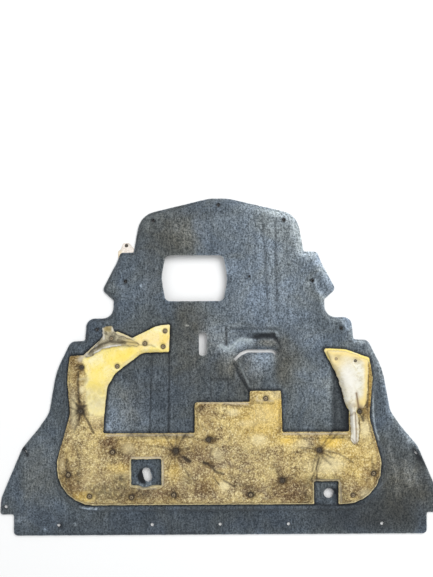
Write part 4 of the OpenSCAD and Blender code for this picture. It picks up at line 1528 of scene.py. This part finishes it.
@dataclass
class PaleTab:
    """The pale tab that shows from under the left shoulder, and its dark stud."""

    spacing: float = 1.2
    free_x: Point = (-216.0, -234.0)
    free_y: Point = (282.0, 298.0)
    held_y: Point = (272.0, 286.0)
    stud_clear: Point = (4.0, 9.0)
    white_y: Point = (270.0, 290.0)
    stain: tuple[Mark, ...] = blots((-240, 272, 10, 12, 0.4))

    def build(self) -> Slab:
        """Builds and dresses the tab, and dresses the stud.

        Returns:
            The tab's slab.
        """
        low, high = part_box("pale_tab")
        plan = Plan.cut_through("pale_tab", high.z / 2 / MM).resampled(self.spacing)
        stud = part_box("tab_stud")
        middle = (stud[0] + stud[1]) / 2 / MM

        def curl(x: Array, y: Array) -> Array:
            """Lift of the free end, clear of the felt above and of the stud."""
            out = smooth_step(*self.free_x, x) + smooth_step(*self.free_y, y)
            clear = smooth_step(*self.stud_clear, np.hypot(x - middle[0], y - middle[1]))
            free = smooth_step(*self.held_y, y)
            return clear * free * np.clip(out, 0, 1) * (1.2 + 0.8 * layered_noise(x, y, 9.0, 2, 40))

        slab = Slab("pale_tab_cloth", plan, self.spacing,
                    lambda x, y: high.z / MM + curl(x, y), lambda x, y: low.z / MM + curl(x, y), 4, 0.1)
        slab.build()
        slab.note("grime_and_shade", 0.4 * smooth_step(2.0, 0.3, plan.edge_distance(slab.x, slab.y)))
        slab.note("ochre", painted(self.stain, slab.x, slab.y))
        slab.note("white", 0.3 * smooth_step(*self.white_y, slab.y))
        finish = FleeceFinish("tab_cloth", (0.78, 0.68, 0.60), (0.90, 0.84, 0.78), (0.32, 0.24, 0.18), 0.5)
        finish_piece(slab.obj, finish.make(), "tab", "pale_tab")
        as_cloth(slab)
        metal = MetalFinish("stud_plastic", (0.030, 0.026, 0.022), (0.060, 0.048, 0.036), 0.0).make()
        dress_node("tab_stud", metal)
        return slab


def dress_node(name: str, material: bpy.types.Material) -> None:
    """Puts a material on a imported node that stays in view.

    Args:
        name: the node.
        material: its new material.
    """
    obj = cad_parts[name]
    obj.data.materials.clear()
    obj.data.materials.append(material)


@dataclass
class Fasteners:
    """The tubular rivets and their washers, which stay as they are imported and get worn metal finishes."""

    count: int = 23
    sooty: tuple[Point, ...] = (
        (-331, -100), (-331, 4), (337, -110), (235, -197),
        (-104, -197), (146, -266), (-23, -170), (327, 18),
    )
    near: float = 14.0

    def dress(self) -> None:
        """Dresses every rivet and washer, the sooty ones darker."""
        brass = MetalFinish("rivet_metal", (0.42, 0.34, 0.21), (0.17, 0.125, 0.075), 0.35).make()
        dull = MetalFinish("washer_metal", (0.085, 0.068, 0.045), (0.045, 0.034, 0.022), 0.25).make()
        black = MetalFinish("rivet_sooty", (0.110, 0.090, 0.064), (0.040, 0.032, 0.023), 0.25).make()
        for number in range(1, self.count + 1):
            low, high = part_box(f"rivet_{number:02d}")
            middle = (low + high) / 2 / MM
            sooty = any(math.dist(middle[:2], place) < self.near for place in self.sooty)
            dress_node(f"rivet_{number:02d}", black if sooty else brass)
            dress_node(f"washer_{number:02d}", dull)
        LOG.info("%d rivets and washers dressed", self.count)


@dataclass
class Studio:
    """Floor, light and camera of a plain studio, seen from straight above."""

    camera_at: Place = (-0.0058, 0.1868, 1.6)
    camera_roll: float = -0.35
    view_height: float = 1.3848
    sensor: float = 36.0
    floor_size: float = 12.0
    floor_z: float = -0.0002
    lamps: tuple[tuple[str, Place, float, float], ...] = (
        ("key_light", (1.3, 1.5, 2.4), 2.2, 68.0),
        ("fill_light", (-2.2, -0.6, 2.6), 2.6, 10.0),
    )
    sky: Colour = (0.97, 0.985, 1.0)
    sky_strength: float = 0.72

    def build(self) -> None:
        """Builds the whole studio."""
        self._floor()
        self._lights()
        self._camera()

    def _floor(self) -> None:
        """Lays the pale floor just under the sheet."""
        half = self.floor_size / 2
        mesh = bpy.data.meshes.new("studio_floor")
        corners = [(-half, -half, 0), (half, -half, 0), (half, half, 0), (-half, half, 0)]
        mesh.from_pydata(corners, [], [(0, 1, 2, 3)])
        floor = bpy.data.objects.new("studio_floor", mesh)
        floor.location.z = self.floor_z
        bpy.context.scene.collection.objects.link(floor)
        bench = Bench(bpy.data.materials.new("pale_floor"))
        colour = bench.mix(bench.noise(900.0, 2.0, 0.5), (0.86, 0.86, 0.855), (0.89, 0.89, 0.885))
        bench.join(colour, bench.shader.inputs["Base Color"])
        bench.shader.inputs["Roughness"].default_value = 0.9
        mesh.materials.append(bench.material)

    def _lights(self) -> None:
        """Hangs one large soft light at the right rear, a weak one at the left, and a pale sky."""
        for name, place, size, power in self.lamps:
            data = bpy.data.lights.new(name, "AREA")
            data.shape = "DISK"
            data.size = size
            data.energy = power
            lamp = bpy.data.objects.new(name, data)
            lamp.location = place
            lamp.rotation_euler = (-Vector(place)).to_track_quat("-Z", "Y").to_euler()
            bpy.context.scene.collection.objects.link(lamp)
        world = bpy.data.worlds.new("studio_sky")
        world.use_nodes = True
        sky = world.node_tree.nodes["Background"]
        sky.inputs[0].default_value = (*self.sky, 1.0)
        sky.inputs[1].default_value = self.sky_strength
        bpy.context.scene.world = world
        bpy.context.scene.view_settings.view_transform = "Standard"

    def _camera(self) -> None:
        """Sets the camera over the sheet, looking straight down."""
        data = bpy.data.cameras.new("studio_camera")
        data.sensor_width = self.sensor
        data.lens = self.sensor * self.camera_at[2] / self.view_height
        camera = bpy.data.objects.new("studio_camera", data)
        camera.location = self.camera_at
        camera.rotation_euler = (0.0, 0.0, math.radians(self.camera_roll))
        bpy.context.scene.collection.objects.link(camera)
        bpy.context.scene.camera = camera


def left_scrap(under: Relief) -> TornFleece:
    """The grey-brown scrap on the left arm, with its pale turned-up edge.

    Args:
        under: heights of what it lies on.

    Returns:
        The scrap, ready to build.
    """
    return TornFleece(
        "torn_fleece_left", "facing_left", "facing_grey",
        FleeceFinish("fleece_grey", (0.215, 0.18, 0.11), (0.42, 0.375, 0.255), (0.045, 0.035, 0.02), 0.7),
        under,
        folds=strokes(
            (3.2, 2.6, (-324, 24), (-317, 33), (-304, 46), (-289, 56), (-275, 66)),
            (3.4, 3.2, (-296, 36), (-275, 46), (-258, 52), (-233, 54), (-206, 55)),
            (2.6, 1.4, (-275, 68), (-262, 76), (-254, 78), (-236, 74)),
            (3.0, 1.6, (-236, 66), (-210, 66), (-180, 60)), (3.0, 1.4, (-266, 94), (-264, 82)),
        ),
        grime_and_shade=blots((-255, 71, 8, 7, 0.8), (-262, 92, 7, 5, 0.5)) + strokes(
            (3.6, 0.85, (-306, 38), (-293, 48), (-275, 58), (-259, 63), (-242, 62), (-222, 60)),
            (1.6, 0.6, (-240, 68), (-226, 64), (-206, 61), (-170, 55)),
        ),
        ochre=blots((-192, 60, 34, 12, 0.7), (-262, 92, 12, 6, 0.5)),
        white=blots((-252, 92, 4, 6, 0.7)) + strokes(
            (3.0, 0.75, (-324, 22), (-317, 31), (-304, 44), (-289, 54)),
            (2.6, 0.85, (-292, 37), (-275, 46), (-258, 52), (-233, 54)),
            (2.6, 0.6, (-277, 95), (-276, 80), (-273, 70)),
        ),
        seed=31,
    )


def right_scrap(under: Relief) -> TornFleece:
    """The cream scrap on the right arm, with its hanging tail.

    Args:
        under: heights of what it lies on.

    Returns:
        The scrap, ready to build.
    """
    return TornFleece(
        "torn_fleece_right", "facing_right", "facing_cream",
        FleeceFinish("fleece_cream", (0.68, 0.62, 0.43), (0.74, 0.72, 0.62), (0.17, 0.105, 0.05), 0.30),
        under,
        folds=strokes(
            (2.6, -1.8, (322, -58), (327, -85), (330, -116)),
            (3.6, 3.2, (312, -96), (315, -140), (319, -182)), (8.0, 1.4, (300, -20), (316, -70)),
            (5.0, 1.2, (338, -20), (336, -70)), (2.0, -1.6, (323, -112), (324, -152), (322, -176)),
        ),
        # Grime, and painted shade in the two sunk folds of the hanging tail.
        grime_and_shade=blots((314, -90, 9, 6, 0.45), (332, -102, 7, 14, 0.85)) + strokes(
            (3.0, 0.95, (322, -62), (326, -88), (330, -118)),
            (2.0, 0.85, (319, -108), (321, -150), (320, -178)),
            (2.0, 0.6, (316, -106), (312, -112), (308, -116)),
            (1.6, 0.6, (311, -168), (316, -176), (319, -184)),
        ),
        ochre=blots(
            (336, -84, 18, 14, 0.9), (280, 14, 26, 18, 0.65), (330, -130, 6, 26, 0.5),
        ) + strokes(
            (9.0, 0.95, (250, 36), (270, 32), (300, 32), (346, 20)),
            (6.5, 0.95, (346, 12), (347, -30), (342, -84)), (8.0, 0.6, (252, 34), (264, 10), (280, -20)),
        ),
        white=blots((306, -30, 18, 44, 0.75, 15)) + strokes(
            (4.0, 0.7, (310, -100), (314, -140), (318, -180)),
        ),
        seed=57,
    )


def main() -> None:
    """Builds every piece in order."""
    logging.basicConfig(level=logging.INFO, format="%(name)s: %(message)s")
    Studio().build()
    felt = FeltPanel().build()
    pad = FoamPad().build()
    resting = Relief(("foam_pad", "felt_panel"), Side.ABOVE).soften(3.0)
    names = [pad.obj.name, felt.obj.name]
    for scrap in (left_scrap(resting), right_scrap(resting)):
        scrap.build(names)
    PaleTab().build()
    Fasteners().dress()


if __name__ == "__main__":
    main()
